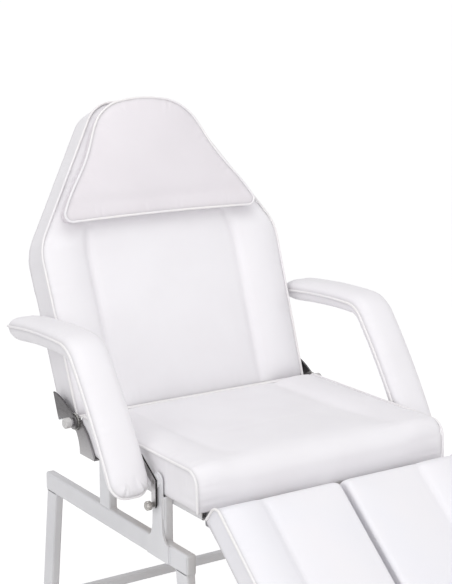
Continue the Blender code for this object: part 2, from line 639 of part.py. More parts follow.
# Arm brackets on the frame: white bell-shaped plates with a boss round the pivot hole
bracket_foot = -(SIDE_RAIL_DROP + TUBE_DEEP) + TUBE_CORNER - ARM_PIVOT_UP
bracket_neck = -BRACKET_NECK - ARM_PIVOT_UP
bracket_wide = -SIDE_RAIL_DROP - ARM_PIVOT_UP
half_bell = arc((0.0, 0.0), BRACKET_HALF, 90.0, 180.0, 5)
flare = bow((-BRACKET_HALF, bracket_neck), (-BRACKET_HALF, bracket_wide), (-BRACKET_FOOT_HALF, bracket_wide))
half_bell += flare + [(-BRACKET_FOOT_HALF, bracket_foot)]
bell = half_bell + [(-x, z) for x, z in reversed(half_bell[1:])]
pin_hole = circle((0.0, 0.0), PIN_R + RUN, 14)
arm_pivot = Vector((0.0, ARM_PIVOT_Y, SEAT_LOW + ARM_PIVOT_UP))
boss_deep = BOSS + BRACKET / 2
for side, sx in SIDES:
    bracket = piece(f"arm_bracket_{side}", flat([bell, pin_hole], BRACKET), "white_paint", root,
                    arm_pivot + Vector((sx * (BRACKET_IN + BRACKET / 2), 0.0, 0.0)), ALONG_X)
    weld_on(bracket, flat([circle((0.0, 0.0), BOSS_R), pin_hole], boss_deep),
            arm_pivot + Vector((sx * (BRACKET_IN + BRACKET / 2 + boss_deep / 2), 0.0, 0.0)), ALONG_X)

# Arms, about their pivots: the seam runs up the leg, round the elbow and back along the top, in three arcs
arm_round = ARM_BEND * (ARM_LEG_ANGLE - ARM_TOP_ANGLE)
arm_arcs = [(ARM_LEG, ARM_FOOT_ANGLE, ARM_LEG_ANGLE), (arm_round, ARM_LEG_ANGLE, ARM_TOP_ANGLE),
            (ARM_TOP, ARM_TOP_ANGLE, ARM_TIP_ANGLE)]
arm_long = ARM_LEG + arm_round + ARM_TOP


def arm_seam(along):
    """Place, normal and reach to the nearer end of the arm's seam at a length from its lower end."""
    y, z, left = ARM_FOOT_BACK, -ARM_FOOT_DROP, along
    for length, first, last in arm_arcs:
        run, radius = min(left, length), length / (first - last)
        heading = first - run / radius
        y += radius * (math.sin(first) - math.sin(heading))
        z += radius * (math.cos(heading) - math.cos(first))
        left -= run
        if left <= 0.0:
            break
    return Vector((y, z)), Vector((-math.sin(heading), math.cos(heading))), min(along, arm_long - along)


def arm_half(reach):
    """Half-width of the arm, which rounds off towards both ends."""
    return ARM_WIDTH / 2 - ARM_END_R + math.sqrt(max(0.0, ARM_END_R ** 2 - max(0.0, ARM_END_R - reach) ** 2))


def arm_shape(sx, low, high):
    """Shape of an arm piece between two heights over the seam; high may depend on where it is."""
    def shape(u, v, w):
        place, normal, reach = arm_seam(v * arm_long)
        across = 2 * u - 1
        top = high(across, reach) if callable(high) else high
        y, z = place + normal * (low + w * (top - low))
        return Vector((sx * (ARM_IN + ARM_WIDTH / 2) + across * arm_half(reach), y, z))
    return shape


def arm_crown(across, reach):
    """Height of the pad over the seam: full in the middle, rounded at the sides and the ends."""
    end = min(1.0, reach / (1.4 * ARM_END_R))
    full = ARM_CROWN * (0.35 + 0.65 * math.sqrt(1 - (1 - end) ** 2))
    return FIT + full * (0.30 + 0.70 * (1 - abs(across) ** 3.0))


end_cuts = [ARM_END_R * t for t in (0.08, 0.3, 0.65, 1.4)]
bend_cuts = [ARM_LEG + arm_round * i / 6 for i in range(7)]
arm_v = end_cuts + [ARM_LEG * t for t in (0.35, 0.6, 0.8)] + bend_cuts
arm_v += [arm_long - ARM_TOP * t for t in (0.7, 0.4)] + [arm_long - c for c in end_cuts]
arm_v = sorted(along / arm_long for along in arm_v)
arm_u = both_ways([0.0, 0.45, 0.75, 0.93])
strap_top, strap_normal, strap_reach = arm_seam(STRAP_REACH)
strap_points = [Vector((0.0, -LOCK_BELOW)), Vector((0.0, 0.0)), strap_top - strap_normal * (ARM_BASE / 2)]


def strap_outline(points, half):
    """Outline round a bent strap of constant width with round ends."""
    low, knee, high = points
    first, second = (knee - low).normalized(), (high - knee).normalized()
    sides = [Vector((-d.y, d.x)) for d in (first, second)]
    mitre = (sides[0] + sides[1]).normalized()
    mitre *= half / mitre.dot(sides[0])
    heading = [math.degrees(math.atan2(d.y, d.x)) for d in (first, second)]
    loop = [tuple(knee - mitre)] + arc(high, half, heading[1] - 90, heading[1] + 90, 6)
    return loop + [tuple(knee + mitre)] + arc(low, half, heading[0] + 90, heading[0] + 270, 6)


lock_hole = circle((0.0, -LOCK_BELOW), LOCK_STUD_R + RUN, 12)
lock_neck = ARM_IN
lock_head = lock_neck + LOCK_NECK
lock_profile = [(0.0, lock_head + LOCK_HEAD), (0.7 * LOCK_HEAD_R, lock_head + LOCK_HEAD),
                (LOCK_HEAD_R, lock_head + 0.65 * LOCK_HEAD), (LOCK_HEAD_R, lock_head + 0.2 * LOCK_HEAD),
                (0.8 * LOCK_HEAD_R, lock_head), (LOCK_NECK_R, lock_head), (LOCK_NECK_R, lock_neck),
                (LOCK_STUD_R, lock_neck), (LOCK_STUD_R, LOCK_TIP), (0.0, LOCK_TIP)]
pin_head = BRACKET_IN - FIT
pin_profile = [(0.0, STRAP_IN + STRAP), (PIN_R, STRAP_IN + STRAP), (PIN_R, pin_head), (PIN_HEAD_R, pin_head),
               (PIN_HEAD_R, pin_head - PIN_HEAD), (0.0, pin_head - PIN_HEAD)]
for side, sx in SIDES:
    arm = empty(f"arm_axis_{side}", root, arm_pivot)
    base = padded(([], arm_v, []), arm_shape(sx, -ARM_BASE, 0.0), False)
    piece(f"arm_base_{side}", base, "white_vinyl", arm)
    pad = padded((arm_u, arm_v, []), arm_shape(sx, FIT, arm_crown), False)
    piece(f"arm_pad_{side}", pad, "white_vinyl", arm)
    strap = flat([strap_outline(strap_points, STRAP_HALF), pin_hole, lock_hole], STRAP)
    piece(f"arm_strap_{side}", strap, "white_paint", arm, (sx * (STRAP_IN + STRAP / 2), 0.0, 0.0), ALONG_X)
    outward = (0.0, sx * math.pi / 2, 0.0)
    piece(f"arm_pivot_pin_{side}", turned(pin_profile, 14), "zinc", arm, rotation=outward)
    lock = empty(f"arm_lock_axis_{side}", arm, (0.0, 0.0, -LOCK_BELOW))
    piece(f"arm_lock_knob_{side}", turned(lock_profile, 16), "zinc", lock, rotation=outward)

# Leg rests, about their hinge axis: local -Y runs down the leg rest, local Z out of its top
leg_inner = LEG_GAP / 2
leg_wide = LEG_OUTER - leg_inner
leg_top_plane = LEG_BOARD_LOW + LEG_SIDE
leg_foam_low = LEG_BOARD_LOW + LEG_BOARD + FIT
leg_crease = leg_wide - LEG_BOLSTER


def leg_shape(sx):
    """Leg rest cushion: a bolster along its outer side, round front and rear edges."""
    def shape(u, v, w):
        across, along = u * leg_wide, v * LEG_LENGTH
        ends = nose(along, LEG_NOSE) + nose(LEG_LENGTH - along, LEG_NOSE)
        swell = bolster(across, leg_wide, leg_crease, LEG_CROWN, LEG_DISH)
        swell *= min(1.0, along / LEG_NOSE, (LEG_LENGTH - along) / LEG_NOSE, across / LEG_NOSE)
        top = leg_top_plane + swell - ends
        drawn = DRAW_IN * math.sin(math.pi * w) * math.sin(math.pi * v) * (2 * u - 1)
        x = leg_inner + across - drawn
        return Vector((sx * x, LEG_HEEL - along, leg_foam_low + w * (top - leg_foam_low)))
    return shape


leg_u = [LEG_NOSE / leg_wide, 0.35, 0.9 * leg_crease / leg_wide]
leg_u += [1 - LEG_BOLSTER * t / leg_wide for t in (1.0, 0.8, 0.5, 0.25, 0.08)]
leg_ends = [LEG_NOSE * t / LEG_LENGTH for t in (0.12, 0.4, 1.0)]
leg_v = leg_ends + [0.35, 0.65] + [1 - t for t in reversed(leg_ends)]
ear_rear = LEG_PIVOT_OUT + CROSS_FRONT - FIT
ear_top = LEG_PIVOT_DROP - EAR_TOP_DROP
ear_low = LEG_PIVOT_DROP - TUBE_DEEP
ear_outline = [(ear_rear, ear_top)] + arc((0.0, 0.0), LEG_EYE, 90.0, 270.0, 8) + [(ear_rear, ear_low)]
web_tall = ear_top - ear_low - 2 * WELD_STEP
web_middle = (ear_top + ear_low) / 2
leg_hole = circle((0.0, 0.0), LEG_PIN_R + RUN, 14)
leg_strap_low = LEG_BOARD_LOW - FIT - LEG_STRAP
strap_start = math.degrees(math.asin(leg_strap_low / LEG_EYE))
leg_strap_loop = [(-LEG_STRAP_LONG, LEG_BOARD_LOW - FIT), (-LEG_STRAP_LONG, leg_strap_low)]
leg_strap_loop += arc((0.0, 0.0), LEG_EYE, 180.0 - strap_start, 450.0, 10)
strap_middles = (LEG_STRAP_INNER, LEG_STRAP_OUTER)
ear_middles = [middle + LEG_STRAP_WIDE / 2 + FIT + EAR / 2 for middle in strap_middles]
lever_in = ear_middles[1] + EAR / 2 + FIT
lever_end = Vector((0.0, -LEVER_LONG))
lever_spread = math.degrees(math.acos((LEVER_HUB_R - LEVER_TIP_R) / LEVER_LONG))
lever_loop = arc((0.0, 0.0), LEVER_HUB_R, -90.0 + lever_spread, 270.0 - lever_spread, 12)
lever_loop += arc(lever_end, LEVER_TIP_R, 270.0 - lever_spread, 270.0 + lever_spread, 6)
pin_inner = LEG_STRAP_INNER - LEG_STRAP_WIDE / 2 - FIT
pin_outer = lever_in + LEVER + LEG_PIN_TAIL
pin_end = pin_inner - LEG_PIN_HEAD
leg_pin_profile = [(0.0, pin_outer), (LEG_PIN_R, pin_outer), (LEG_PIN_R, pin_inner),
                   (LEG_PIN_HEAD_R, pin_inner), (LEG_PIN_HEAD_R, pin_end), (0.0, pin_end)]
for side, sx in SIDES:
    leg_rest = empty(f"leg_axis_{side}", root, LEG_PIVOT, LEG_SLOPE)
    piece(f"leg_cushion_{side}", padded((leg_u, leg_v, [0.5]), leg_shape(sx)), "white_vinyl", leg_rest)
    board = block((leg_wide - 2 * BOARD_INSET, LEG_LENGTH - 2 * BOARD_INSET, LEG_BOARD))
    piece(f"leg_board_{side}", board, "plywood", leg_rest,
          (sx * (leg_inner + leg_wide / 2), LEG_HEEL - LEG_LENGTH / 2, LEG_BOARD_LOW + LEG_BOARD / 2))
    inner, outer = (sx * middle for middle in strap_middles)
    frame = piece(f"leg_frame_{side}", flat([leg_strap_loop, leg_hole], LEG_STRAP_WIDE), "black_paint",
                  leg_rest, (inner, 0.0, 0.0), ALONG_X)
    weld_on(frame, block((LEG_STRAP_OUTER - LEG_STRAP_INNER, LEG_STRAP_WIDE, LEG_STRAP - 2 * WELD_STEP)),
            ((inner + outer) / 2, LEG_STRAP_WIDE - LEG_STRAP_LONG, leg_strap_low + LEG_STRAP / 2))
    weld_on(frame, flat([leg_strap_loop, leg_hole], LEG_STRAP_WIDE), (outer, 0.0, 0.0), ALONG_X)
    inner, outer = (sx * middle for middle in ear_middles)
    bracket = piece(f"leg_hinge_bracket_{side}", flat([ear_outline, leg_hole], EAR), "white_paint", root,
                    LEG_PIVOT + Vector((inner, 0.0, 0.0)), ALONG_X)
    weld_on(bracket, block((ear_middles[1] - ear_middles[0], EAR - WELD_STEP, web_tall)),
            LEG_PIVOT + Vector(((inner + outer) / 2, ear_rear - EAR / 2, web_middle)))
    weld_on(bracket, flat([ear_outline, leg_hole], EAR), LEG_PIVOT + Vector((outer, 0.0, 0.0)), ALONG_X)
    piece(f"leg_hinge_pin_{side}", turned(leg_pin_profile, 14), "zinc", root, LEG_PIVOT,
          (0.0, sx * math.pi / 2, 0.0))
    lever = empty(f"leg_lever_axis_{side}", root, LEG_PIVOT)
    piece(f"leg_clamp_lever_{side}", flat([lever_loop, leg_hole], LEVER), "black_nylon", lever,
          (sx * (lever_in + LEVER / 2), 0.0, 0.0), ALONG_X)

# Centre the chair front to back over its floor area
bpy.context.view_layer.update()
reach = [(part.matrix_world @ vert.co).y for part in chair.objects if part.type == "MESH"
         for vert in part.data.vertices]
root.location.y = -(min(reach) + max(reach)) / 2
bpy.context.view_layer.update()
for name in ("back_axis", "arm_axis_right", "arm_lock_axis_right", "leg_axis_right"):
    print(name, [round(value, 5) for value in bpy.data.objects[name].matrix_world.translation])
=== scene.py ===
from math import cos, inf, pi, radians, sin

import bpy
import numpy as np
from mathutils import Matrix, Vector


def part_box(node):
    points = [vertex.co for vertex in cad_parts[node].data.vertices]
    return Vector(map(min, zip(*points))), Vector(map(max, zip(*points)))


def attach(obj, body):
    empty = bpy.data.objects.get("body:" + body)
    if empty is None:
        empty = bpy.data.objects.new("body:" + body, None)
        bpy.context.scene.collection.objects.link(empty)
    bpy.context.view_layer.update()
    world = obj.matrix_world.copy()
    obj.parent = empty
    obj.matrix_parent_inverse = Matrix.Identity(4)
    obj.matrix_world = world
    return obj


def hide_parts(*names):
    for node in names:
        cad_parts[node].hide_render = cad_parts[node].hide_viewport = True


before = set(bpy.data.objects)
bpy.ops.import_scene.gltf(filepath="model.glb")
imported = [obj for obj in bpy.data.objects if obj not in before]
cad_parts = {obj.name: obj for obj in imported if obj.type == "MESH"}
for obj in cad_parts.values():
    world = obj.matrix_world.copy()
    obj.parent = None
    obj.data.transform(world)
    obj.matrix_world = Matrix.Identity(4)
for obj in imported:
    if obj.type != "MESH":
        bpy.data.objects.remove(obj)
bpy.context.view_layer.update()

# Studio: the camera stands off the sitter's right front, a little higher than the back, with a long lens.
# The picture is 452 by 584; the camera is placed from the middle of the seat's lower front edge.
IMAGE_TALL, FOCAL_PIXELS, SENSOR = 584, 1500.0, 36.0
CAMERA_FROM_SEAT = (-1.6489, -2.1606, 0.9562)
CAMERA_YAW, CAMERA_DIP, CAMERA_SIGHT = 0.5819, 0.2111, 200.0
SKY_LIGHT, SKY, WHITE = 0.58, (0.985, 0.98, 1.0, 1.0), (1.0, 1.0, 1.0, 1.0)
LAMPS = (  # name, place, size, watts, aim
    ("key_left", (-3.3, -1.3, 2.1), 2.4, 40.0, (0.0, 0.1, 0.7)),
    ("fill_right", (3.0, -1.6, 2.0), 2.4, 7.0, (0.0, 0.1, 0.7)),
    ("fill_low", (0.2, -3.0, 0.5), 1.8, 18.0, (0.0, -0.1, 0.5)),
    ("top", (-0.4, -0.6, 3.4), 2.6, 27.0, (0.0, 0.1, 0.6)),
)
SEAT_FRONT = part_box("seat_cushion")[0].y
SEAT_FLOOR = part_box("seat_board")[0].z
studio = bpy.context.scene
studio.view_settings.view_transform = "Standard"
lens = bpy.data.cameras.new("studio_camera")
lens.lens = FOCAL_PIXELS * SENSOR / IMAGE_TALL
lens.clip_end = CAMERA_SIGHT
camera = bpy.data.objects.new("studio_camera", lens)
camera.location = np.array((0.0, SEAT_FRONT, SEAT_FLOOR)) + CAMERA_FROM_SEAT
camera.rotation_euler = (pi / 2 - CAMERA_DIP, 0.0, -CAMERA_YAW)
studio.collection.objects.link(camera)
studio.camera = camera


def wire(made, inputs):
    """Values and links on a node's inputs; a linked node gives its first output."""
    for key, value in inputs.items():
        if isinstance(value, bpy.types.Node):
            value = value.outputs[0]
        if isinstance(value, bpy.types.NodeSocket):
            made.id_data.links.new(value, made.inputs[key])
        else:
            made.inputs[key].default_value = value


def set_up(made, **settings):
    """A node, lamp or modifier with its settings."""
    for key, value in settings.items():
        setattr(made, key, value)
    return made


def node(tree, kind, inputs=None, **settings):
    """One shader node with its settings, its values and its links."""
    made = set_up(tree.nodes.new("ShaderNode" + kind), **settings)
    wire(made, inputs or {})
    return made


def emptied(owner):
    """A world's or material's node tree, with nothing in it."""
    owner.use_nodes = True
    owner.node_tree.nodes.clear()
    return owner.node_tree


def two_faced(tree, kind, lighting, shown):
    """Output of one shader for the light that it gives and another where it is seen directly."""
    rays = node(tree, "LightPath").outputs
    direct = node(tree, "Math", {0: rays["Is Camera Ray"], 1: rays["Is Glossy Ray"]}, operation="MAXIMUM")
    direct = node(tree, "Math", {0: direct, 1: rays["Is Transmission Ray"]}, operation="MAXIMUM")
    node(tree, kind, {"Surface": node(tree, "MixShader", {0: direct, 1: lighting, 2: shown})})


studio.world = bpy.data.worlds.new("white_studio")
tree = emptied(studio.world)
two_faced(tree, "OutputWorld", node(tree, "Background", {"Color": SKY, "Strength": SKY_LIGHT}),
          node(tree, "Background", {"Color": WHITE, "Strength": 1.0}))
for name, place, size, watts, aim in LAMPS:
    lamp = set_up(bpy.data.lights.new(name, "AREA"), size=size, energy=watts)
    stand = bpy.data.objects.new(name, lamp)
    stand.location = place
    towards = stand.location.copy()
    towards[:] = np.subtract(aim, place)
    stand.rotation_euler = towards.to_track_quat("-Z", "Y").to_euler()
    studio.collection.objects.link(stand)


# Floor: a pale paper sweep that lies under the chair and rises behind it in one curve.
# Seen directly it adds its own white to the light on it, so it is white and still holds the shadow.
FLOOR_NEAR, FLOOR_LONG, FLOOR_HALF, FLOOR_ROWS = -9.0, 30.0, 14.0, 60
FLOOR_LEVEL, FLOOR_BEND = 0.5, 0.25
PAPER, PAPER_VEIL, PAPER_GLOW = (0.80, 0.80, 0.80, 1.0), (0.40, 0.40, 0.40, 1.0), 0.79


def lay(name, *shapes):
    """A smooth piece from one or more shapes, each its points and its faces."""
    starts = np.cumsum([0] + [len(points) for points, _ in shapes]).tolist()
    faces = [[corner + start for corner in face] for (_, many), start in zip(shapes, starts) for face in many]
    mesh = bpy.data.meshes.new(name)
    mesh.from_pydata(np.concatenate([points for points, _ in shapes]).tolist(), [], faces)
    mesh.update()
    mesh.shade_smooth()
    made = bpy.data.objects.new(name, mesh)
    studio.collection.objects.link(made)
    return made


def quads(rows, columns, round_rows=False, round_columns=False):
    """Corners of a grid's faces; a round direction joins its last line to its first."""
    r, c = np.indices((rows - (not round_rows), columns - (not round_columns))).reshape(2, -1)
    r1, c1 = (r + 1) % rows, (c + 1) % columns
    return np.stack([r * columns + c, r * columns + c1, r1 * columns + c1, r1 * columns + c], 1)


def xyz(x, y, z):
    """Points from their X, Y and Z, each a number or an array."""
    return np.stack(np.broadcast_arrays(x, y, z), -1)


def clamped(share):
    """A share held between 0 and 1."""
    return np.clip(share, 0.0, 1.0)


turn = clamped((np.linspace(0.0, 1.0, FLOOR_ROWS) - FLOOR_LEVEL) / FLOOR_BEND) * pi / 2
step = FLOOR_LONG / (FLOOR_ROWS - 1)
x, y = np.meshgrid(np.linspace(-FLOOR_HALF, FLOOR_HALF, 3), FLOOR_NEAR + np.cumsum(step * np.cos(turn)))
rise = np.cumsum(step * np.sin(turn))[:, None]
c, s = cos(CAMERA_YAW), sin(CAMERA_YAW)
sweep = xyz(c * x + s * y, c * y - s * x, rise)
paper = lay("paper_sweep", (sweep.reshape(-1, 3), quads(FLOOR_ROWS, 3)[:, ::-1].tolist()))
paper_white = bpy.data.materials.new("paper_white")
tree = emptied(paper_white)
veil = node(tree, "BsdfDiffuse", {"Color": PAPER_VEIL})
glow = node(tree, "Emission", {"Color": WHITE, "Strength": PAPER_GLOW})
two_faced(tree, "OutputMaterial", node(tree, "BsdfDiffuse", {"Color": PAPER}),
          node(tree, "AddShader", {0: veil, 1: glow}))
paper.data.materials.append(paper_white)


# Steel frame: rectangular tube and plate, cut square, welded and powder coated white.
# Weld beads run across the joints, and plastic plugs close the open tube ends.
SIDES, ENDS = (("right", -1.0), ("left", 1.0)), ("front", "rear")
# The white enamel is laid down grey, darker than white paint: the grey is painted shade, for the frame in the
# seat's shadow.
ENAMEL, ENAMEL_DULL = (0.74, 0.74, 0.755), (0.68, 0.68, 0.695)
BEAD, BEAD_RIPPLE, BEAD_STEP, BEAD_TIP, BEAD_SHORT = 0.0016, 0.20, 0.0022, 0.35, 0.002
LEG_TUBE, TUBE_ROUND, CROSS_WELD = 0.040, 0.004, 0.018
BRACKET_NECK, NECK_WELD = 0.0172, (0.045, 0.003)
PLUG_GAP = 0.0002
PLUG_RINGS = np.array([(0.0, 0.96, 0.98), (0.0015, 0.96, 0.98), (0.0025, 0.84, 0.92), (0.0025, 0.40, 0.70)])
WELDED = ("seat_rail", "front_post", "rear_post", "side_rail", "front_leg", "rear_leg", "arm_bracket",
          "leg_hinge_bracket")


def start_finish(name):
    """A new material, its tree, its main shader and the piece's own coordinates."""
    finish = bpy.data.materials.new(name)
    finish.use_nodes = True
    tree = finish.node_tree
    return finish, tree, tree.nodes["Principled BSDF"], node(tree, "TexCoord").outputs["Object"]


def cloud(place, scale, detail):
    """Soft noise."""
    return node(place.id_data, "TexNoise", {"Vector": place, "Scale": scale, "Detail": detail})


def blotches(place, scale, first, second, low=0.35, high=0.65, detail=3.0):
    """Colour that drifts between two values with soft noise."""
    ramp = node(place.id_data, "ValToRGB", {"Fac": cloud(place, scale, detail)})
    for stop, at, colour in zip(ramp.color_ramp.elements, (low, high), (first, second)):
        stop.position = at
        stop.color = (*colour, 1.0)
    return ramp


def drift(place, scale, low, high):
    """A number that drifts between two values with soft noise."""
    return node(place.id_data, "MapRange", {"Value": cloud(place, scale, 2.0), "From Min": 0.3,
                                            "From Max": 0.7, "To Min": low, "To Max": high})


def raised(shader, height, strength, distance):
    """Bump of a height on the main shader."""
    bump = {"Height": height, "Strength": strength, "Distance": distance}
    wire(shader, {"Normal": node(shader.id_data, "Bump", bump)})


def coated(name, clean, dull, rough, peel=420.0):
    """A smooth coat: drifting colour and roughness, and a fine orange peel."""
    finish, tree, shader, place = start_finish(name)
    wire(shader, {"Base Color": blotches(place, 6.0, dull, clean),
                  "Roughness": drift(place, 40.0, rough, rough + 0.12)})
    raised(shader, cloud(place, peel, 1.0), 0.12, 0.0006)
    return finish


def coat(finish, *names):
    """Give CAD nodes a finish."""
    for name in names:
        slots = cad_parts[name].data.materials
        slots.clear()
        slots.append(finish)


def fit_out(piece, finish, body, slot, *stands_for):
    """Finish and body of a new piece, and the CAD nodes that it stands for; the slot is not used."""
    piece.data.materials.append(finish)
    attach(piece, body)
    if stands_for:
        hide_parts(*stands_for)


def lofted(rings, joined=False):
    """Rings joined in order, with filled ends or the last joined to the first."""
    count, around = rings.shape[:2]
    faces = quads(count, around, joined, True).tolist()
    if not joined:
        faces += [list(range(around))[::-1], list(range((count - 1) * around, count * around))]
    return rings.reshape(-1, 3), faces


def unit(rows):
    """Directions of length 1."""
    return rows / np.linalg.norm(rows, axis=1, keepdims=True)


def swept(path, radius, square, joined=False, sides=10):
    """A round cord: at each point of the path a circle of the radius, laid from a direction across it."""
    ahead = unit(np.roll(path, -1, 0) - np.roll(path, 1, 0) if joined else np.gradient(path, axis=0))
    across = unit(np.cross(ahead, square))
    upward = np.cross(ahead, across)
    turn = np.linspace(0.0, 2 * pi, sides, endpoint=False)[None, :, None]
    circle = np.cos(turn) * across[:, None] + np.sin(turn) * upward[:, None]
    return lofted(path[:, None] + np.broadcast_to(radius, len(path))[:, None, None] * circle, joined)


def bead(start, end, square):
    """A weld bead: a cord whose radius ripples as a cosine and thins at both ends."""
    start, end = np.array(start), np.array(end)
    long = np.linalg.norm(end - start)
    along = np.linspace(0.0, long, max(8, int(long / BEAD_STEP * 5)))
    swell = 1.0 + BEAD_RIPPLE * np.cos(2 * pi * along / BEAD_STEP)
    swell *= np.clip(np.minimum(along, long - along) / BEAD + BEAD_TIP, BEAD_TIP, 1.0)
    return swept(start + (end - start) * (along / long)[:, None], BEAD * swell, square, sides=8)


def upright_beads(x, ys, low, high):
    """Weld beads up a face at an X, one at each Y."""
    return [bead((x, y, low), (x, y, high), (1, 0, 0)) for y in ys]


def corner_ring(half_a, half_b, corner, steps=5):
    """Points of a rectangle with round corners, counterclockwise."""
    turn = (np.arange(4)[:, None] * pi / 2 + np.linspace(0.0, pi / 2, steps)).ravel()
    a = np.repeat([1, -1, -1, 1], steps) * (half_a - corner) + corner * np.cos(turn)
    b = np.repeat([1, 1, -1, -1], steps) * (half_b - corner) + corner * np.sin(turn)
    return np.stack([a, b], 1)


white_enamel = coated("white_enamel", ENAMEL, ENAMEL_DULL, 0.30)
plug_plastic = coated("plug_plastic", (0.70, 0.70, 0.71), (0.64, 0.64, 0.65), 0.45, 700.0)
coat(white_enamel, "seat_cross_rail_front", "seat_cross_rail_rear", "rear_stretcher", "back_cross_tube")
beads, plugs = [], []
for side, sx in SIDES:
    coat(white_enamel, *[f"{part}_{side}" for part in WELDED])
    rail_low, rail_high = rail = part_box(f"side_rail_{side}")
    for part in ("front_post", "rear_post", "front_leg", "rear_leg"):
        low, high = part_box(f"{part}_{side}")
        level = (rail_high if "post" in part else rail_low).z
        first = high.y - LEG_TUBE if part == "front_leg" else low.y
        last = low.y + LEG_TUBE if part == "rear_leg" else high.y
        beads += [bead((low.x + 0.001, y, level), (high.x - 0.001, y, level), (0, 0, 1)) for y in (first, last)]
    face = rail[sx > 0].x
    low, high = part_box(f"arm_bracket_{side}")
    beads += upright_beads(face, (low.y, high.y), low.z + BEAD_SHORT, rail_high.z - BEAD_SHORT)
    neck = (low.y + high.y) / 2 + np.array([-BRACKET_NECK, BRACKET_NECK])
    beads += upright_beads(face, neck, SEAT_FLOOR - NECK_WELD[0], SEAT_FLOOR - NECK_WELD[1])
    low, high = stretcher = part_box("rear_stretcher")
    end = stretcher[sx > 0].x
    beads += upright_beads(end, (low.y, high.y), low.z + BEAD_SHORT, high.z - BEAD_SHORT)
    near_end, far_end = low.y + BEAD_SHORT, high.y - BEAD_SHORT
    beads += [bead((end, near_end, z), (end, far_end, z), (1, 0, 0)) for z in (low.z, high.z)]
    for label in ENDS:
        low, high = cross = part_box(f"seat_cross_rail_{label}")
        beads += upright_beads(cross[sx > 0].x, (low.y, high.y), high.z - CROSS_WELD, high.z - BEAD_SHORT)
    ring = corner_ring((rail_high.x - rail_low.x) / 2, (rail_high.z - rail_low.z) / 2, TUBE_ROUND)
    middle = np.mean(rail, axis=0)
    depth, wide, tall = PLUG_RINGS.T[:, :, None]
    for end, out in ((rail_low.y, -1.0), (rail_high.y, 1.0)):
        a, b = ring[::-int(out)].T
        plugs.append(lofted(xyz(middle[0] + wide * a, end + out * (PLUG_GAP + depth), middle[2] + tall * b)))
fit_out(lay("weld_beads", *beads), white_enamel, "base", "white_paint")
fit_out(lay("rail_end_plugs", *plugs), plug_plastic, "base", "white_plastic")


# Rubber feet: black moulded feet pushed into the leg tubes, with three grip ribs round each.
# Their black drifts softly at random between a deeper and a duller tone.
FEET = [f"rubber_foot_{label}_{side}" for label in ENDS for side, _ in SIDES]
FOOT_ROUND = 0.006
FOOT_RINGS = ((0.0, 2.0), (0.8, 0.7), (3.5, 0.2), (4.1, 1.1), (5.6, 1.1), (6.2, 0.1), (8.6, 0.1), (9.2, 1.1),
              (10.6, 1.1), (11.2, 0.2), (14.6, 0.3), (15.9, 1.4))  # level and inset in mm
feet = []
for name in FEET:
    low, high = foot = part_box(name)
    middle = np.mean(foot, axis=0)[:2]
    feet.append(lofted(np.stack([
        xyz(*(middle + corner_ring((high.x - low.x) / 2 - inset, (high.y - low.y) / 2 - inset,
                                   FOOT_ROUND - inset / 2)).T, low.z + level)
        for level, inset in np.array(FOOT_RINGS) / 1000])))
foot_rubber = coated("foot_rubber", (0.035, 0.035, 0.036), (0.060, 0.058, 0.056), 0.72, 900.0)
fit_out(lay("rubber_feet", *feet), foot_rubber, "base", "rubber", *FEET)


# Boards: birch plywood panels under the foam of the seat, the back and the leg rests.
# The faces show long grain and the edges show the plies.
PLY, PLY_DARK = (0.62, 0.47, 0.30), (0.46, 0.32, 0.18)


def laid_over(tree, share, first, second, **settings):
    """A share of a second colour over a first one."""
    return node(tree, "Mix", {"Factor": share, 6: first, 7: second}, data_type="RGBA", **settings).outputs[2]


plywood, tree, shader, place = start_finish("birch_plywood")
stretch = node(tree, "Mapping", {"Vector": place, "Scale": (60.0, 4.0, 60.0)})
grain = blotches(stretch, 1.6, PLY_DARK, PLY, 0.30, 0.62, 6.0)
plies = node(tree, "TexWave", {"Vector": place, "Scale": 110.0, "Distortion": 0.6, "Detail": 1.0},
             bands_direction="Z")
wire(shader, {"Base Color": laid_over(tree, 0.25, grain, plies, blend_type="MULTIPLY"), "Roughness": 0.62})
raised(shader, cloud(stretch, 9.0, 4.0), 0.25, 0.0004)
coat(plywood, "seat_board", "backrest_board", "leg_board_right", "leg_board_left")


# Seat cover: white vinyl sewn from a top and front panel and two side panels, drawn over foam and stapled
# under the board. Piping runs along the side seams and down the front corners; bolsters rise at the sides.
SEAT_HALF, SEAT_DEPTH, SEAT_LOW, SEAT_SIDE = 0.290, 0.445, 0.505, 0.076
SEAT_CROWN, SEAT_DISH, SEAT_NOSE, SEAT_REAR = 0.013, 0.005, 0.028, 0.014
SEAT_CREASE, SEAT_APRON, APRON_SHARE, APRON_FALL, APRON_RUN = 0.185, 0.062, 0.6, 0.012, 0.190
SEAT_TOP = SEAT_LOW + SEAT_SIDE
DRAW_IN, SLACK = 0.003, 0.80
HEM_DROP, HEM_WIDE, HEM_TALL, FOAM_LIFT = 0.00015, 0.009, 0.004, 0.001
PIPING, PIPING_OUT, SEAM_SHADE, SEAM_REACH, SEAM_STEP = 0.0025, 0.0004, 0.0055, 0.006, 0.004
REAR_CORD = 0.270
CORNER_LONG, FOLD_END, FOLD_BOW = 0.040, 0.012, 0.020
VINYL, VINYL_SHADE = (0.860, 0.845, 0.865), (0.835, 0.818, 0.838)
# The seam colour is painted shade: a grey laid in a narrow band along each seam, where the piping casts its
# shadow.
VINYL_CREAM, SEAM_PAINTED_SHADE = (0.880, 0.862, 0.855), (0.52, 0.505, 0.52)
SEAT_HEM = SEAT_FLOOR - HEM_DROP
SEAT_PLACE = (0.0, (0.0, SEAT_FRONT, 0.0))
GRIPS, CLOTH_STEPS = 4, 14


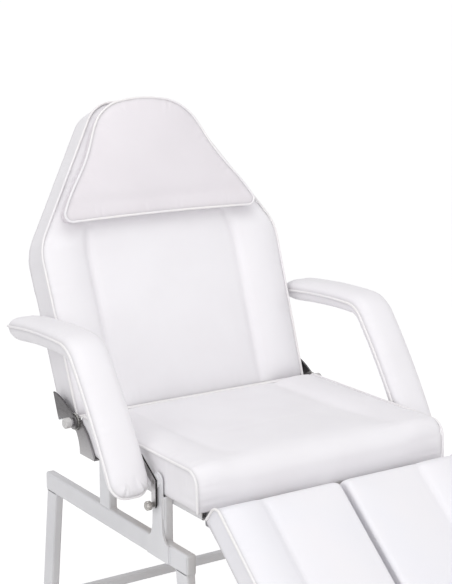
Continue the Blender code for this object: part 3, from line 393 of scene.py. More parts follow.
def vinyl(name, clean, shade, grain=1.0):
    """Coated cloth: pebble grain over uneven foam, a drifting sheen, and painted shade beside the seams."""
    finish, tree, shader, place = start_finish(name)
    # The attribute seam carries painted shade: it greys the vinyl along the seams.
    seam = node(tree, "Attribute", attribute_name="seam").outputs["Fac"]
    colour = blotches(place, 7.0, shade, clean, 0.30, 0.60)
    wire(shader, {"Base Color": laid_over(tree, seam, colour, (*SEAM_PAINTED_SHADE, 1.0)), "Specular IOR Level": 0.40,
                  "Roughness": drift(place, 25.0, 0.40, 0.52)})
    pebble = node(tree, "TexVoronoi", {"Vector": place, "Scale": 760.0, "Randomness": 0.9}, feature="SMOOTH_F1")
    height = node(tree, "Math", {0: pebble, 1: 0.35 * grain, 2: cloud(place, 34.0, 2.0)},
                  operation="MULTIPLY_ADD")
    raised(shader, height, 0.16, 0.0016)
    return finish


def boxed(*cuts):
    """Points and outward faces on the sides of a unit box that is cut along its axes."""
    spots, faces, start = [], [], 0
    for axis in range(3):
        a, b = (axis + 1) % 3, (axis + 2) % 3
        i, j = np.indices((len(cuts[a]), len(cuts[b]))).reshape(2, -1)
        for end in (0, 1):
            spot = np.full((i.size, 3), (len(cuts[axis]) - 1) * end)
            spot[:, a], spot[:, b] = i, j
            face = quads(len(cuts[a]), len(cuts[b])) + start
            faces.append(face[:, ::-1] if end else face)
            spots.append(spot)
            start += i.size
    spots, number = np.unique(np.concatenate(spots), axis=0, return_inverse=True)
    places = [cut[spots[:, k]] for k, cut in enumerate(cuts)]
    return places, number.reshape(-1)[np.concatenate(faces)].tolist()


def edge_cuts(count):
    """Cuts from 0 to 1 that crowd towards both ends."""
    return 0.5 - 0.5 * np.cos(pi * np.linspace(0.0, 1.0, count))


def least(*distances):
    """The smallest of several distances, point by point."""
    return np.minimum.reduce(distances)


def eased(share):
    """0 to 1 with a soft start and a soft end: 3 t squared less 2 t cubed."""
    t = clamped(share)
    return t * t * (3 - 2 * t)


def fading(distance, fade):
    """1 on a seam, falling evenly to 0 at the fade's distance from it."""
    return 1 - clamped(distance / fade)


def bolster(place, edge, crease, crown, dish):
    """Height across a pad: a round bolster from edge to crease, a shallow dish inside."""
    t = clamped((edge - place) / (edge - crease))
    outer = crown * clamped(np.sin(pi * t)) ** 0.75 - dish * t ** 3
    return np.where(place >= crease, outer, -dish + 0.8 * dish * (1 - (place / crease) ** 2))


def nose(distance, radius):
    """Drop of a rounded edge at a distance from its end face."""
    left = radius - np.clip(distance, 0.0, radius)
    return radius - np.sqrt(np.maximum(radius ** 2 - left ** 2, 0.0))


def drawn_in(v, w):
    """Pull on a side panel, most in its middle: a product of two sines."""
    return DRAW_IN * np.sin(pi * w) * np.sin(pi * v)


def points_of(mesh, what="co"):
    """A mesh's points, or its outward directions, as an array."""
    values = np.empty(len(mesh.vertices) * 3)
    mesh.vertices.foreach_get(what, values)
    return values.reshape(-1, 3)


def move_to(piece, points):
    """Put a piece's points at new places."""
    piece.data.vertices.foreach_set("co", points.ravel())
    piece.data.update()


def push_out(piece, distance):
    """Move each point of a piece outward by its own distance."""
    move_to(piece, points_of(piece.data) + points_of(piece.data, "normal") * distance[:, None])


def bake_modifiers(piece):
    """Make the piece's mesh what its modifiers give."""
    mesh = bpy.data.meshes.new_from_object(piece.evaluated_get(bpy.context.evaluated_depsgraph_get()))
    piece.modifiers.clear()
    old, piece.data = piece.data, mesh
    bpy.data.meshes.remove(old)


def stuffed(name, form, held, cuts, swell, even, force=4.0):
    """A padded cover from its sewn form on a cut box.

    The form is remeshed evenly and blown up as cloth, less where held(x, y, z) nears 1, sewn or stapled.
    No point moves further than swell. It is then smoothed and each face is cut into four.
    """
    spots, faces = boxed(*cuts)
    cover = lay(name, (form(*spots), faces))
    set_up(cover.modifiers.new("even", "REMESH"), mode="VOXEL", voxel_size=even)
    bake_modifiers(cover)
    rest = points_of(cover.data)
    grip = np.round(GRIPS * clamped(held(*rest.T))).astype(int)
    group = cover.vertex_groups.new(name="held")
    for level in range(1, GRIPS + 1):
        group.add(np.flatnonzero(grip == level).tolist(), level / GRIPS, "REPLACE")
    cloth = cover.modifiers.new("cloth", "CLOTH")
    cloth.collision_settings.use_collision = False
    cloth.settings.effector_weights.gravity = 0.0
    set_up(cloth.settings, vertex_group_mass="held", quality=3, use_pressure=True,
           uniform_pressure_force=force)
    for moment in range(1, CLOTH_STEPS + 1):
        studio.frame_set(moment)
    blown = cover.evaluated_get(bpy.context.evaluated_depsgraph_get()).to_mesh()
    move = points_of(blown) - rest
    cover.modifiers.clear()
    cover.vertex_groups.clear()
    studio.frame_set(1)
    far = np.linalg.norm(move, axis=1, keepdims=True)
    move_to(cover, rest + move * (swell * np.tanh(far / swell) / np.maximum(far, 1e-9)))
    set_up(cover.modifiers.new("soften", "SMOOTH"), factor=0.5, iterations=2)
    set_up(cover.modifiers.new("finer", "SUBSURF"), levels=1, render_levels=1)
    bake_modifiers(cover)
    cover.data.shade_smooth()
    return cover


def near(points, path):
    """Each point's distance to a path's nearest point, and that point's number."""
    parts = np.array_split(points, max(1, len(points) * len(path) // 8000000))
    number = np.concatenate([((part ** 2).sum(1)[:, None] + (path ** 2).sum(1) - 2 * part @ path.T).argmin(1)
                             for part in parts])
    return np.linalg.norm(points - path[number], axis=1), number


def closed(path):
    """A path with its first point again at its end."""
    return np.concatenate([path, path[:1]])


def sewn_to(cover, path, reach=SEAM_REACH, share=0.85):
    """Draw the cover to a seam by a bell curve of reach; the attribute seam lays painted shade beside it by a
    narrower one.
    """
    points = points_of(cover.data)
    gap, number = near(points, path)
    close = np.flatnonzero(gap < 3 * reach)
    spots, number = points[close], number[close]
    best, short = path[number], gap[close]
    for other in (np.maximum(number - 1, 0), np.minimum(number + 1, len(path) - 1)):
        line = path[other] - path[number]
        part = ((spots - path[number]) * line).sum(1) / np.maximum((line ** 2).sum(1), 1e-12)
        spot = path[number] + clamped(part)[:, None] * line
        far = np.linalg.norm(spots - spot, axis=1)
        best = np.where((far < short)[:, None], spot, best)
        short = np.minimum(far, short)
    points[close] += (share * np.exp(-(short / reach) ** 2))[:, None] * (best - spots)
    move_to(cover, points)
    # Painted shade: the attribute seam greys the vinyl in a narrow bell curve along the seam.
    painted_seam_shade = cover.data.attributes.get("seam") or cover.data.attributes.new("seam", "FLOAT", "POINT")
    shade_laid_before = np.empty(len(points))
    painted_seam_shade.data.foreach_get("value", shade_laid_before)
    painted_seam_shade.data.foreach_set("value", np.maximum(shade_laid_before, np.exp(-(gap / SEAM_SHADE) ** 2)))


def pressed(cover, path, depth, width):
    """Draw the cover in along a path by a bell curve of a depth and a width."""
    gap, _ = near(points_of(cover.data), path)
    push_out(cover, -depth * np.exp(-(gap / width) ** 2))


def length_along(path):
    """Length of a path up to each of its points."""
    return np.concatenate([[0.0], np.cumsum(np.linalg.norm(np.diff(path, axis=0), axis=1))])


def gathered(cover, path, height, wave, reach):
    """Small gathers beside a seam: an uneven cosine along it that fades away from it."""
    gap, number = near(points_of(cover.data), path)
    turn = 2 * pi * length_along(path) / wave
    ripple = np.cos(turn + 1.7 * np.sin(0.37 * turn)) * (0.55 + 0.45 * np.sin(0.23 * turn + 1.0))
    push_out(cover, height * ripple[number] * (gap / reach) * np.exp(1.0 - gap / reach))


def spaced(path, step=SEAM_STEP, joined=False):
    """The same path with its points an even step apart."""
    path = closed(path) if joined else np.asarray(path)
    along = length_along(path)
    places = np.linspace(0.0, along[-1], max(4, int(along[-1] / step)), endpoint=not joined)
    return np.stack([np.interp(places, along, column) for column in path.T], 1)


def arc(centre, top, radius, first, last, steps):
    """Points of a circle between two angles in quarter turns."""
    turn = np.linspace(first, last, steps) * pi / 2
    return np.stack([centre + radius * np.cos(turn), top - radius + radius * np.sin(turn)], 1)


def flattened(cover, floor, low, high):
    """Lay the underside flat over its board, between two (x, y) corners, inside a narrow hem."""
    points = points_of(cover.data)
    inside = least(*(points[:, :2] - low).T, *(high - points[:, :2]).T)
    under = (points[:, 2] < floor + HEM_TALL) & (inside > HEM_WIDE)
    points[:, 2] = np.where(under, floor + FOAM_LIFT, np.maximum(points[:, 2], floor - HEM_DROP))
    move_to(cover, points)


def carried(points, tilt, pivot):
    """Points turned about X by a tilt and moved to a pivot."""
    c, s = cos(tilt), sin(tilt)
    return points @ np.array([[1.0, 0.0, 0.0], [0.0, c, s], [0.0, -s, c]]) + pivot


def fit_cover(cover, piping, finish, body, place, stands_for, sx=1.0):
    """Carry a padded cover and its piping to their place, mirrored on the right, and fit them out."""
    for piece in (cover, piping):
        move_to(piece, carried(points_of(piece.data) * (sx, 1.0, 1.0), *place))
        if sx < 0:
            piece.data.flip_normals()
    fit_out(cover, finish, body, "white_vinyl", *stands_for)
    fit_out(piping, piping_vinyl, body, "white_vinyl")


def seat_form(u, v, w):
    """Seat: bolsters along both sides, a front that runs softly in, round edges, sides drawn in."""
    x, y = (2 * u - 1) * SEAT_HALF, v * SEAT_DEPTH
    share = clamped(y / SEAT_APRON)
    apron = SEAT_CROWN * np.sin(pi * share) ** 0.75 - SEAT_DISH * share ** 3
    behind = APRON_SHARE * SEAT_CROWN - APRON_FALL * eased((y - SEAT_APRON / 2) / APRON_RUN)
    front = np.where(y < SEAT_APRON / 2, APRON_SHARE * apron, behind)
    swell = np.maximum(bolster(np.abs(x), SEAT_HALF, SEAT_CREASE, SEAT_CROWN, SEAT_DISH), front)
    ends = nose(y, SEAT_NOSE) + nose(SEAT_DEPTH - y, SEAT_REAR)
    top = SEAT_TOP + SLACK * swell * np.minimum(1.0, (SEAT_DEPTH - y) / SEAT_NOSE) - ends
    y = y - DRAW_IN * (1 - w) * (1 - v) ** 8
    return xyz(x * (1 - drawn_in(v, w) / SEAT_HALF), y, SEAT_HEM + w * (top - SEAT_HEM))


def seat_held(x, y, z):
    """Sewn along the sides, stapled below, flat down the front, drawn down along two creases."""
    x = np.abs(x)
    crease = np.abs(x - SEAT_CREASE) + np.maximum(0.0, SEAT_APRON - y)
    front = np.maximum(y - 0.004, z - SEAT_TOP + SEAT_NOSE)
    return fading(least(SEAT_HALF - x, crease, SEAT_DEPTH - y, z - SEAT_LOW - 0.015, front), fade=0.018)


white_vinyl = vinyl("white_vinyl", VINYL, VINYL_SHADE)
piping_vinyl = vinyl("piping_vinyl", VINYL_CREAM, VINYL, 0.6)
cuts = edge_cuts(90), edge_cuts(70), np.linspace(0.0, 1.0, 8)
seat_cover = stuffed("seat_cover", seat_form, seat_held, cuts, swell=0.012, even=0.0075)
seat_profile = spaced(np.concatenate([
    arc(SEAT_DEPTH - SEAT_REAR, SEAT_TOP, SEAT_REAR, 0, 1, 12), arc(SEAT_NOSE, SEAT_TOP, SEAT_NOSE, 1, 2, 12),
    [[-0.9 * DRAW_IN, SEAT_LOW + FOAM_LIFT]]]))
fold_y = np.linspace(SEAT_APRON - FOLD_END, SEAT_DEPTH - FOLD_END, 90)
fold_x = SEAT_CREASE - FOLD_BOW * clamped((SEAT_APRON + 0.05 - fold_y) / 0.062) ** 2
seat_cords = []
for side, sx in SIDES:
    seam = xyz(sx * SEAT_HALF, *seat_profile.T)
    sewn_to(seat_cover, seam)
    gathered(seat_cover, seam, height=0.0006, wave=0.026, reach=0.010)
    gathered(seat_cover, seam[seam[:, 1] < CORNER_LONG], height=0.0011, wave=0.017, reach=0.016)
    pressed(seat_cover, xyz(sx * fold_x, fold_y, SEAT_TOP - SEAT_DISH), depth=0.0016, width=0.015)
    seat_cords.append(swept(seam + (sx * PIPING_OUT, 0.0, PIPING_OUT), PIPING, (1, 0, 0)))
rear_cord = xyz(np.linspace(-REAR_CORD, REAR_CORD, 90), SEAT_DEPTH - 0.0045, SEAT_TOP - 0.0035)
seat_cords.append(swept(rear_cord, PIPING, (0, 0, 1)))
hem = spaced([(SEAT_HALF, -DRAW_IN), (SEAT_HALF, SEAT_DEPTH),
              (-SEAT_HALF, SEAT_DEPTH), (-SEAT_HALF, -DRAW_IN)], joined=True)
sewn_to(seat_cover, xyz(*hem.T, SEAT_HEM))
flattened(seat_cover, SEAT_FLOOR, (-SEAT_HALF, 0.0), (SEAT_HALF, SEAT_DEPTH))
seat_piping = lay("seat_piping", *seat_cords)
fit_cover(seat_cover, seat_piping, white_vinyl, "base", SEAT_PLACE, ["seat_cushion"])


# Back hinge: pressed steel plates, satin chromed, on a bolt with a nut; the lower plate is screwed under the
# seat board and the upper one to the back's cross tube. A toothed zinc disc sits between them.
# The satin chrome's colour is painted reflection: dark greys stand for dark surroundings mirrored in the
# chrome.
PAINTED_REFLECTION_DARK, PAINTED_REFLECTION_MID, PAINTED_REFLECTION_PALE = (0.085, 0.080, 0.083), (0.19, 0.182, 0.186), (0.44, 0.43, 0.435)
BACK_TILT = radians(21.3)
BACK_PIVOT = (0.0, SEAT_FRONT + SEAT_DEPTH + 0.007, SEAT_LOW + 0.060)
CLAMP_KNOB = ((5.4, 10.0, 0), (5.4, 0.2, 0), (9.6, 0.0, 0), (10.8, 0.9, 0.6), (11.0, 1.6, 1), (11.0, 11.2, 1),
              (10.5, 12.8, 0.7), (9.2, 13.8, 0), (5.4, 14.0, 0), (4.8, 13.2, 0))  # radius, distance out, ribs
SCREW_HEAD = ((1.0, 0.0, 0), (1.0, 0.22, 0), (0.93, 0.38, 0), (0.74, 0.52, 0), (0.56, 0.57, 0),
              (0.50, 0.57, 1), (0.48, 0.22, 1))  # radius, height, six-sided or round
SCREW, PLATE_SCREW_X, PLATE_SCREWS, RAIL_SCREWS = 0.0045, 0.250, (0.060, 0.030), (0.14, 0.50, 0.86)


def brushed(name, dark, light, rough, stretch):
    """Satin metal: colour and roughness in fine streaks along one direction."""
    finish, tree, shader, place = start_finish(name)
    lines = node(tree, "Mapping", {"Vector": place, "Scale": stretch})
    wire(shader, {"Base Color": blotches(lines, 1.0, dark, light, 0.25, 0.75, 5.0), "Metallic": 1.0,
                  "Roughness": drift(lines, 1.5, rough, rough + 0.16)})
    raised(shader, cloud(lines, 2.5, 4.0), 0.10, 0.0003)
    return finish


def tinted(finish, colour, share):
    """Lay a colour over a finish by a share(tree, place) of the piece's own coordinates."""
    tree = finish.node_tree
    shader = tree.nodes["Principled BSDF"]
    place = node(tree, "SeparateXYZ", {"Vector": tree.nodes["Texture Coordinate"].outputs["Object"]}).outputs
    own = shader.inputs["Base Color"].links[0].from_socket
    wire(shader, {"Base Color": laid_over(tree, share(tree, place), own, (*colour, 1.0))})


def button_heads(places, axis, radius):
    """Button-head screws: rings over the dome and down into a six-sided socket."""
    axis = np.array(axis)
    first = np.array((0.0, 1.0, 0.0) if abs(axis[1]) < 0.5 else (1.0, 0.0, 0.0))
    turn = np.linspace(0.0, 2 * pi, 24, endpoint=False)[:, None]
    circle = np.cos(turn) * first + np.sin(turn) * np.cross(axis, first)
    six = cos(pi / 6) / np.cos(turn % (pi / 3) - pi / 6)
    head = np.stack([axis * up + across * (six if hexed else 1.0) * circle for across, up, hexed in SCREW_HEAD])
    return [lofted(np.asarray(place) + radius * head) for place in places]


def knob(name, sx, profile, ribs, depth):
    """A knob turned about X in a CAD node's box, its radius dipping between ribs as a cosine."""
    low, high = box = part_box(name)
    _, y, z = np.mean(box, axis=0)
    turn = np.linspace(0.0, 2 * pi, 168, endpoint=False)
    radius, out, share = np.array(profile).T[:, :, None]
    radius = radius / 1000 - share * depth * (0.5 - 0.5 * np.cos(ribs * turn))
    out = out * (high.x - low.x) / out.max()
    return lofted(xyz(box[sx < 0].x + sx * out, y + radius * np.cos(turn), z + sx * radius * np.sin(turn)))


satin_steel = brushed("satin_steel", PAINTED_REFLECTION_DARK, PAINTED_REFLECTION_MID, 0.26, (90.0, 90.0, 900.0))
bright_steel = brushed("bright_steel", (0.36, 0.35, 0.36), (0.52, 0.51, 0.52), 0.20, (200.0, 200.0, 1200.0))
zinc_plate = brushed("zinc_plate", (0.30, 0.30, 0.29), (0.46, 0.45, 0.43), 0.32, (300.0, 300.0, 300.0))
clamp_plastic = coated("clamp_plastic", (0.66, 0.65, 0.64), (0.60, 0.59, 0.58), 0.38, 800.0)
plate_low, plate_high = (corner.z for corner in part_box("back_hinge_lower_plate_right"))
# Painted reflection: over the lower plate's height the chrome grows paler downward, dark at its top and pale at
# its foot.
tinted(satin_steel, PAINTED_REFLECTION_PALE, lambda tree, place: node(tree, "MapRange", {
    "Value": place["Z"], "From Min": plate_low, "From Max": plate_high, "To Min": 1.0, "To Max": 0.0}))
under_screws = []
for side, sx in SIDES:
    coat(satin_steel, f"back_hinge_lower_plate_{side}", f"back_hinge_upper_plate_{side}")
    coat(bright_steel, f"back_pivot_bolt_{side}")
    coat(zinc_plate, f"back_lock_disc_{side}", f"arm_pivot_pin_{side}", f"leg_hinge_pin_{side}")
    name = f"back_clamp_knob_{side}"
    clamp_knob = lay(f"clamp_knob_{side}", knob(name, sx, CLAMP_KNOB, 28, 0.0004))
    fit_out(clamp_knob, clamp_plastic, f"back_knob_{side}", "white_plastic", name)
    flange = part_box(f"back_hinge_lower_plate_{side}")[0].z
    places = [(sx * PLATE_SCREW_X, BACK_PIVOT[1] - y, flange) for y in PLATE_SCREWS]
    low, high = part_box(f"seat_rail_{side}")
    places += [((low.x + high.x) / 2, low.y + (high.y - low.y) * share, low.z) for share in RAIL_SCREWS]
    under_screws += button_heads(places, (0, 0, -1), SCREW)
fit_out(lay("seat_screws", *under_screws), zinc_plate, "base", "zinc")


# Backrest cover: vinyl over foam on a board and a cross tube, a shaped front panel sewn to a side band with
# piping all round, two drawn-in creases that part the side bolsters, and a plain rear panel.
BACK_SET, BACK_RISE, BACK_HEIGHT, BACK_REAR = 0.0107, 0.0102, 0.657, 0.0845
BACK_CORNERS = ((0.285, 0.0, 0.004), (0.2955, 0.356, 0.110), (0.103, BACK_HEIGHT, 0.078))
BACK_CROWN, BACK_DISH, BACK_CREASE, BACK_ROUND = 0.015, 0.005, 0.628, 0.003
BACK_FADE = (0.347, 0.391)
FOLD_FOOT = 0.010
REAR_SEAM_IN, REAR_SHARE, REAR_REACH = 0.002, 0.998, 0.008
BACK_PLACE = (-BACK_TILT, BACK_PIVOT)


def rounded_loop(corners, steps=24):
    """A closed outline from (x, y, radius) corners, counterclockwise, each an arc."""
    spots = np.array(corners)
    here, radius = spots[:, :2], spots[:, 2:]
    back, ahead = unit(np.roll(here, 1, 0) - here), unit(np.roll(here, -1, 0) - here)
    half = np.arccos(np.clip((back * ahead).sum(1, keepdims=True), -1.0, 1.0)) / 2
    middle = here + unit(back + ahead) * radius / np.sin(half)
    first = np.arctan2(*(here + back * radius / np.tan(half) - middle).T[::-1])
    turn = first[:, None] + np.linspace(0.0, 1.0, steps) * (pi - 2 * half)
    return (middle[:, None] + radius[:, None] * np.stack([np.cos(turn), np.sin(turn)], 2)).reshape(-1, 2)


def both_sides(*corners):
    """A half outline, from its lower corner up, as the whole one, counterclockwise."""
    return [*corners, *((-x, y, radius) for x, y, radius in reversed(corners))]


def half_edge(loop):
    """Heights and half-widths of an outline, from its foot up."""
    edge = loop[loop[:, 0] >= 0.0]
    return edge[np.argsort(edge[:, 1], kind="stable")].T[::-1]


def rows_up(heights, count, gap):
    """Even cuts from 0 to 1 and the given heights among them, none closer than a gap."""
    rows = np.unique(np.concatenate([np.linspace(0.0, 1.0, count), heights]))
    return clamped(rows[np.concatenate([[True], np.diff(rows) > gap])])


back_loop = rounded_loop(both_sides(*BACK_CORNERS))
back_edge = half_edge(back_loop)


def back_half(height):
    """Half-width of the back at a height over its lower edge."""
    return np.interp(height, *back_edge)


def back_fade(height):
    """Share of the crown that is left at a height: none under the head pillow."""
    return 1 - eased((height - BACK_FADE[0]) / (BACK_FADE[1] - BACK_FADE[0]))


def back_form(u, v, w):
    """Back, about its pivot: bolsters at both sides, flat under the pillow, rear edge rounded."""
    height, across = v * BACK_HEIGHT, 2 * u - 1
    swell = bolster(np.abs(across), 1.0, BACK_CREASE, BACK_CROWN, BACK_DISH) * back_fade(height)
    front = BACK_SET - SLACK * swell * np.minimum(1.0, height / SEAT_NOSE)
    y = BACK_REAR + w * (front - BACK_REAR)
    inset = nose(np.minimum(BACK_REAR - y, BACK_ROUND), BACK_ROUND)
    x = across * (back_half(height) - drawn_in(v, w) - inset)
    return xyz(x, y, BACK_RISE + height * (1 - inset / BACK_HEIGHT))


def back_held(x, y, z):
    """Sewn in front, stapled behind, drawn in along the creases, glued under the pillow."""
    x, height = np.abs(x), z - BACK_RISE
    half = back_half(height)
    edge = least(half - x, height, BACK_HEIGHT - height)
    front = np.minimum(edge, np.abs(x - BACK_CREASE * half)) * back_fade(height)
    return fading(np.where(y > BACK_REAR - 0.006, 0.5 * edge, np.where(y < 0.025, front, 0.0)), fade=0.018)


cuts = edge_cuts(80), rows_up(back_edge[0] / BACK_HEIGHT, 80, 2e-5), edge_cuts(16)
back_cover = stuffed("back_cover", back_form, back_held, cuts, swell=0.012, even=0.0075)
loop = spaced(back_loop, joined=True)
seam = xyz(loop[:, 0], BACK_SET, BACK_RISE + loop[:, 1])
middle = BACK_RISE + BACK_HEIGHT / 2
rear_seam = xyz(REAR_SHARE * loop[:, 0], BACK_REAR - REAR_SEAM_IN, middle + REAR_SHARE * (seam[:, 2] - middle))
sewn_to(back_cover, closed(seam))
sewn_to(back_cover, closed(rear_seam), REAR_REACH)
gathered(back_cover, seam, height=0.0005, wave=0.031, reach=0.010)
fold = np.linspace(FOLD_FOOT, BACK_FADE[1], 90)
for side, sx in SIDES:
    fold_x = sx * BACK_CREASE * back_half(fold)
    pressed(back_cover, xyz(fold_x, BACK_SET + BACK_DISH, BACK_RISE + fold), depth=0.0055, width=0.010)
back_piping = lay("back_piping", swept(seam - (0.0, PIPING_OUT, 0.0), PIPING, (0, 1, 0), True))
fit_cover(back_cover, back_piping, white_vinyl, "back", BACK_PLACE, ["backrest_cushion"])


# Head pillow: a boxed vinyl pillow with piping round its face, tapered like the back and fixed to it.
# Its face is full in the middle and breaks softly a hand's width above the lower edge.
PILLOW_LOW, PILLOW_TOP, PILLOW_SIDE, PILLOW_CROWN = 0.397, 0.657, 0.024, 0.016
PILLOW_CORNERS = ((0.248, PILLOW_LOW, 0.016), (0.101, PILLOW_TOP, 0.066))
PILLOW_WAIST, WAIST_AT, WAIST_REACH, PILLOW_BOW, PILLOW_DOME = 0.010, 0.530, 0.095, 0.004, 1.7
BREAK_HALF, BREAK_UP = 0.205, 0.036
# The pillow's vinyl is a darker, pinker copy of the white vinyl: painted shade.
PILLOW_VINYL_SHADED, PILLOW_SHADE = (0.792, 0.758, 0.784), (0.768, 0.733, 0.759)
PILLOW_REAR = BACK_SET - 0.0003
PILLOW_FACE = PILLOW_REAR - PILLOW_SIDE
PILLOW_TALL = PILLOW_TOP - PILLOW_LOW
pillow_loop = rounded_loop(both_sides(*PILLOW_CORNERS))
pillow_edge = half_edge(pillow_loop)


def waist(height):
    """How far the pillow's sides are drawn in: a squared cosine about the waist."""
    return PILLOW_WAIST * np.cos(pi / 2 * np.clip((height - WAIST_AT) / WAIST_REACH, -1.0, 1.0)) ** 2


def pillow_half(height):
    """Half-width of the pillow at a height over the back's lower edge."""
    return np.interp(height, *pillow_edge) - waist(height)


def bowed(x, height):
    """Height with both edges bowed up in their middle, as parabolas."""
    up = clamped((height - PILLOW_LOW) / PILLOW_TALL)
    lower = PILLOW_BOW * (1 - (x / PILLOW_CORNERS[0][0]) ** 2)
    return height + lower * (1 - up) - PILLOW_DOME * x ** 2 * up ** 5


def pillow_form(u, v, w):
    """Pillow: boxed edge all round and a soft crown that breaks above its lower edge."""
    height, across = PILLOW_LOW + v * PILLOW_TALL, 2 * u - 1
    dome = np.maximum(0.0, 1 - np.abs(across) ** 2.4) * np.sin(pi * np.minimum(1.0, 0.08 + 1.6 * v) / 2)
    front = PILLOW_FACE - SLACK * PILLOW_CROWN * dome * np.sqrt(np.maximum(0.0, 1 - v ** 4))
    x = across * pillow_half(height)
    return xyz(x, PILLOW_REAR + w * (front - PILLOW_REAR), BACK_RISE + bowed(x, height))


def pillow_held(x, y, z):
    """Sewn round its face and fixed behind."""
    x, height = np.abs(x), z - BACK_RISE
    edge = least(pillow_half(height) - x, height - PILLOW_LOW, PILLOW_TOP - height)
    return fading(np.where(y < PILLOW_REAR - 0.020, edge, 0.0), fade=0.016)


rows = rows_up((pillow_edge[0] - PILLOW_LOW) / PILLOW_TALL, 50, 5e-5)
cuts = edge_cuts(70), rows, np.linspace(0.0, 1.0, 7)
head_pillow = stuffed("head_pillow_cover", pillow_form, pillow_held, cuts, swell=0.010, even=0.006, force=10.0)
x, height = spaced(pillow_loop, joined=True).T
seam = xyz(x - np.sign(x) * waist(height), PILLOW_FACE, BACK_RISE + bowed(x, height))
sewn_to(head_pillow, closed(seam), reach=0.005)
gathered(head_pillow, seam, height=0.0006, wave=0.024, reach=0.009)
fold = xyz(np.linspace(-BREAK_HALF, BREAK_HALF, 90), PILLOW_FACE - 0.010, BACK_RISE + PILLOW_LOW + BREAK_UP)
pressed(head_pillow, fold, depth=0.0022, width=0.014)
move_to(head_pillow, np.minimum(points_of(head_pillow.data), (inf, PILLOW_REAR, inf)))
pillow_piping = lay("pillow_piping", swept(seam - (0.0, PIPING_OUT, 0.0), PIPING, (0, 1, 0), True))
# Painted shade: the pillow gets the darker copy of the white vinyl.
shaded_pillow_vinyl = vinyl("shaded_pillow_vinyl", PILLOW_VINYL_SHADED, PILLOW_SHADE)
fit_cover(head_pillow, pillow_piping, shaded_pillow_vinyl, "back", BACK_PLACE, ["head_pillow"])


# Arm hardware: a flat-steel strap in each arm turns on a zinc pin; it is bright, with its thin edges coloured
# near black as painted shade and painted dark reflection.
# A small lobed metal knob below the pin clamps it.
LOCK_KNOB = ((3.0, 0.0, 0), (3.0, 7.6, 0), (5.0, 7.6, 0), (5.0, 12.8, 0), (5.4, 13.4, 0), (8.2, 13.6, 0.4),
             (9.5, 15.4, 1), (9.5, 20.2, 1), (8.6, 22.4, 0.8), (6.6, 24.2, 0.3), (3.0, 24.5, 0))
PAINTED_DARK_EDGE = (0.030, 0.029, 0.029)
knob_metal = brushed("knob_metal", (0.36, 0.345, 0.33), (0.50, 0.485, 0.465), 0.34, (250.0, 250.0, 250.0))
strap_steel = brushed("strap_steel", (0.46, 0.45, 0.455), (0.60, 0.59, 0.595), 0.30, (220.0, 220.0, 220.0))
strap_in, strap_out = (corner.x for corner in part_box("arm_strap_left"))
# Painted shade and dark reflection: the strap's thin side faces, between its two broad faces, are coloured near
# black.
tinted(strap_steel, PAINTED_DARK_EDGE, lambda tree, place: node(tree, "Math", {
    0: node(tree, "Math", {0: place["X"]}, operation="ABSOLUTE"), 1: (strap_in + strap_out) / 2,
    2: 0.45 * (strap_out - strap_in)}, operation="COMPARE"))
for side, sx in SIDES:
    coat(strap_steel, f"arm_strap_{side}")
    name = f"arm_lock_knob_{side}"
    lock_knob = lay(f"lock_knob_{side}", knob(name, sx, LOCK_KNOB, 8, 0.0016))
    fit_out(lock_knob, knob_metal, f"arm_knob_{side}", "zinc", name)


# Arms: boomerang armrests, a crowned vinyl pad sewn to a band round a wooden core, with piping along the seam.
# The form is made straight, along its seam, and then bent up the leg, round the elbow and back along the top.
ARM_PLACE = (0.0, (0.0, SEAT_FRONT + 0.131, SEAT_LOW + 0.027))
ARM_FOOT = (0.0018, -0.0216)
ARM_LEG, ARM_BEND, ARM_TOP = 0.277, 0.067, 0.250
ARM_ANGLES = np.radians([61.9, 51.2, 1.8, -8.8])
ARM_IN, ARM_WIDTH, ARM_END = 0.3064, 0.0813, 0.030
ARM_CROWN, ARM_BASE, ARM_SEAM = 0.017, 0.030, 0.50
BAND_TUCK, FOOT_TUCK, TIP_TUCK, INNER_DROP = 0.018, 0.020, 0.036, 0.006
ARM_CORNER = 0.034
CORD_SHARE, CORD_FORWARD = (1.012, 1.004, 1.0), (0.0, 0.0012, 0.0)
arm_arcs = (ARM_LEG, ARM_BEND * (ARM_ANGLES[1] - ARM_ANGLES[2]), ARM_TOP)
arm_long = sum(arm_arcs)


def arm_bent(points):
    """Points across, along and over the straight arm, on the bent arm, whose seam is three arcs."""
    across, along, over = points.T
    (y, z), heading, left = ARM_FOOT, ARM_ANGLES[0], along
    for length, first, last in zip(arm_arcs, ARM_ANGLES, ARM_ANGLES[1:]):
        run = np.clip(left, 0.0, length)
        now = first - run * (first - last) / length
        y = y + length / (first - last) * (np.sin(first) - np.sin(now))
        z = z + length / (first - last) * (np.cos(now) - np.cos(first))
        heading, left = np.where(left > 0.0, now, heading), left - length
    beyond = np.minimum(along, 0.0) + np.maximum(left, 0.0)
    y = y + beyond * np.cos(heading) - over * np.sin(heading)
    z = z + beyond * np.sin(heading) + over * np.cos(heading)
    return xyz(ARM_IN + ARM_WIDTH / 2 + across, y, z)


def seam_drop(across):
    """Height of the seam across the arm: it lies lower on the inner side."""
    return -INNER_DROP * (0.5 - across / ARM_WIDTH)


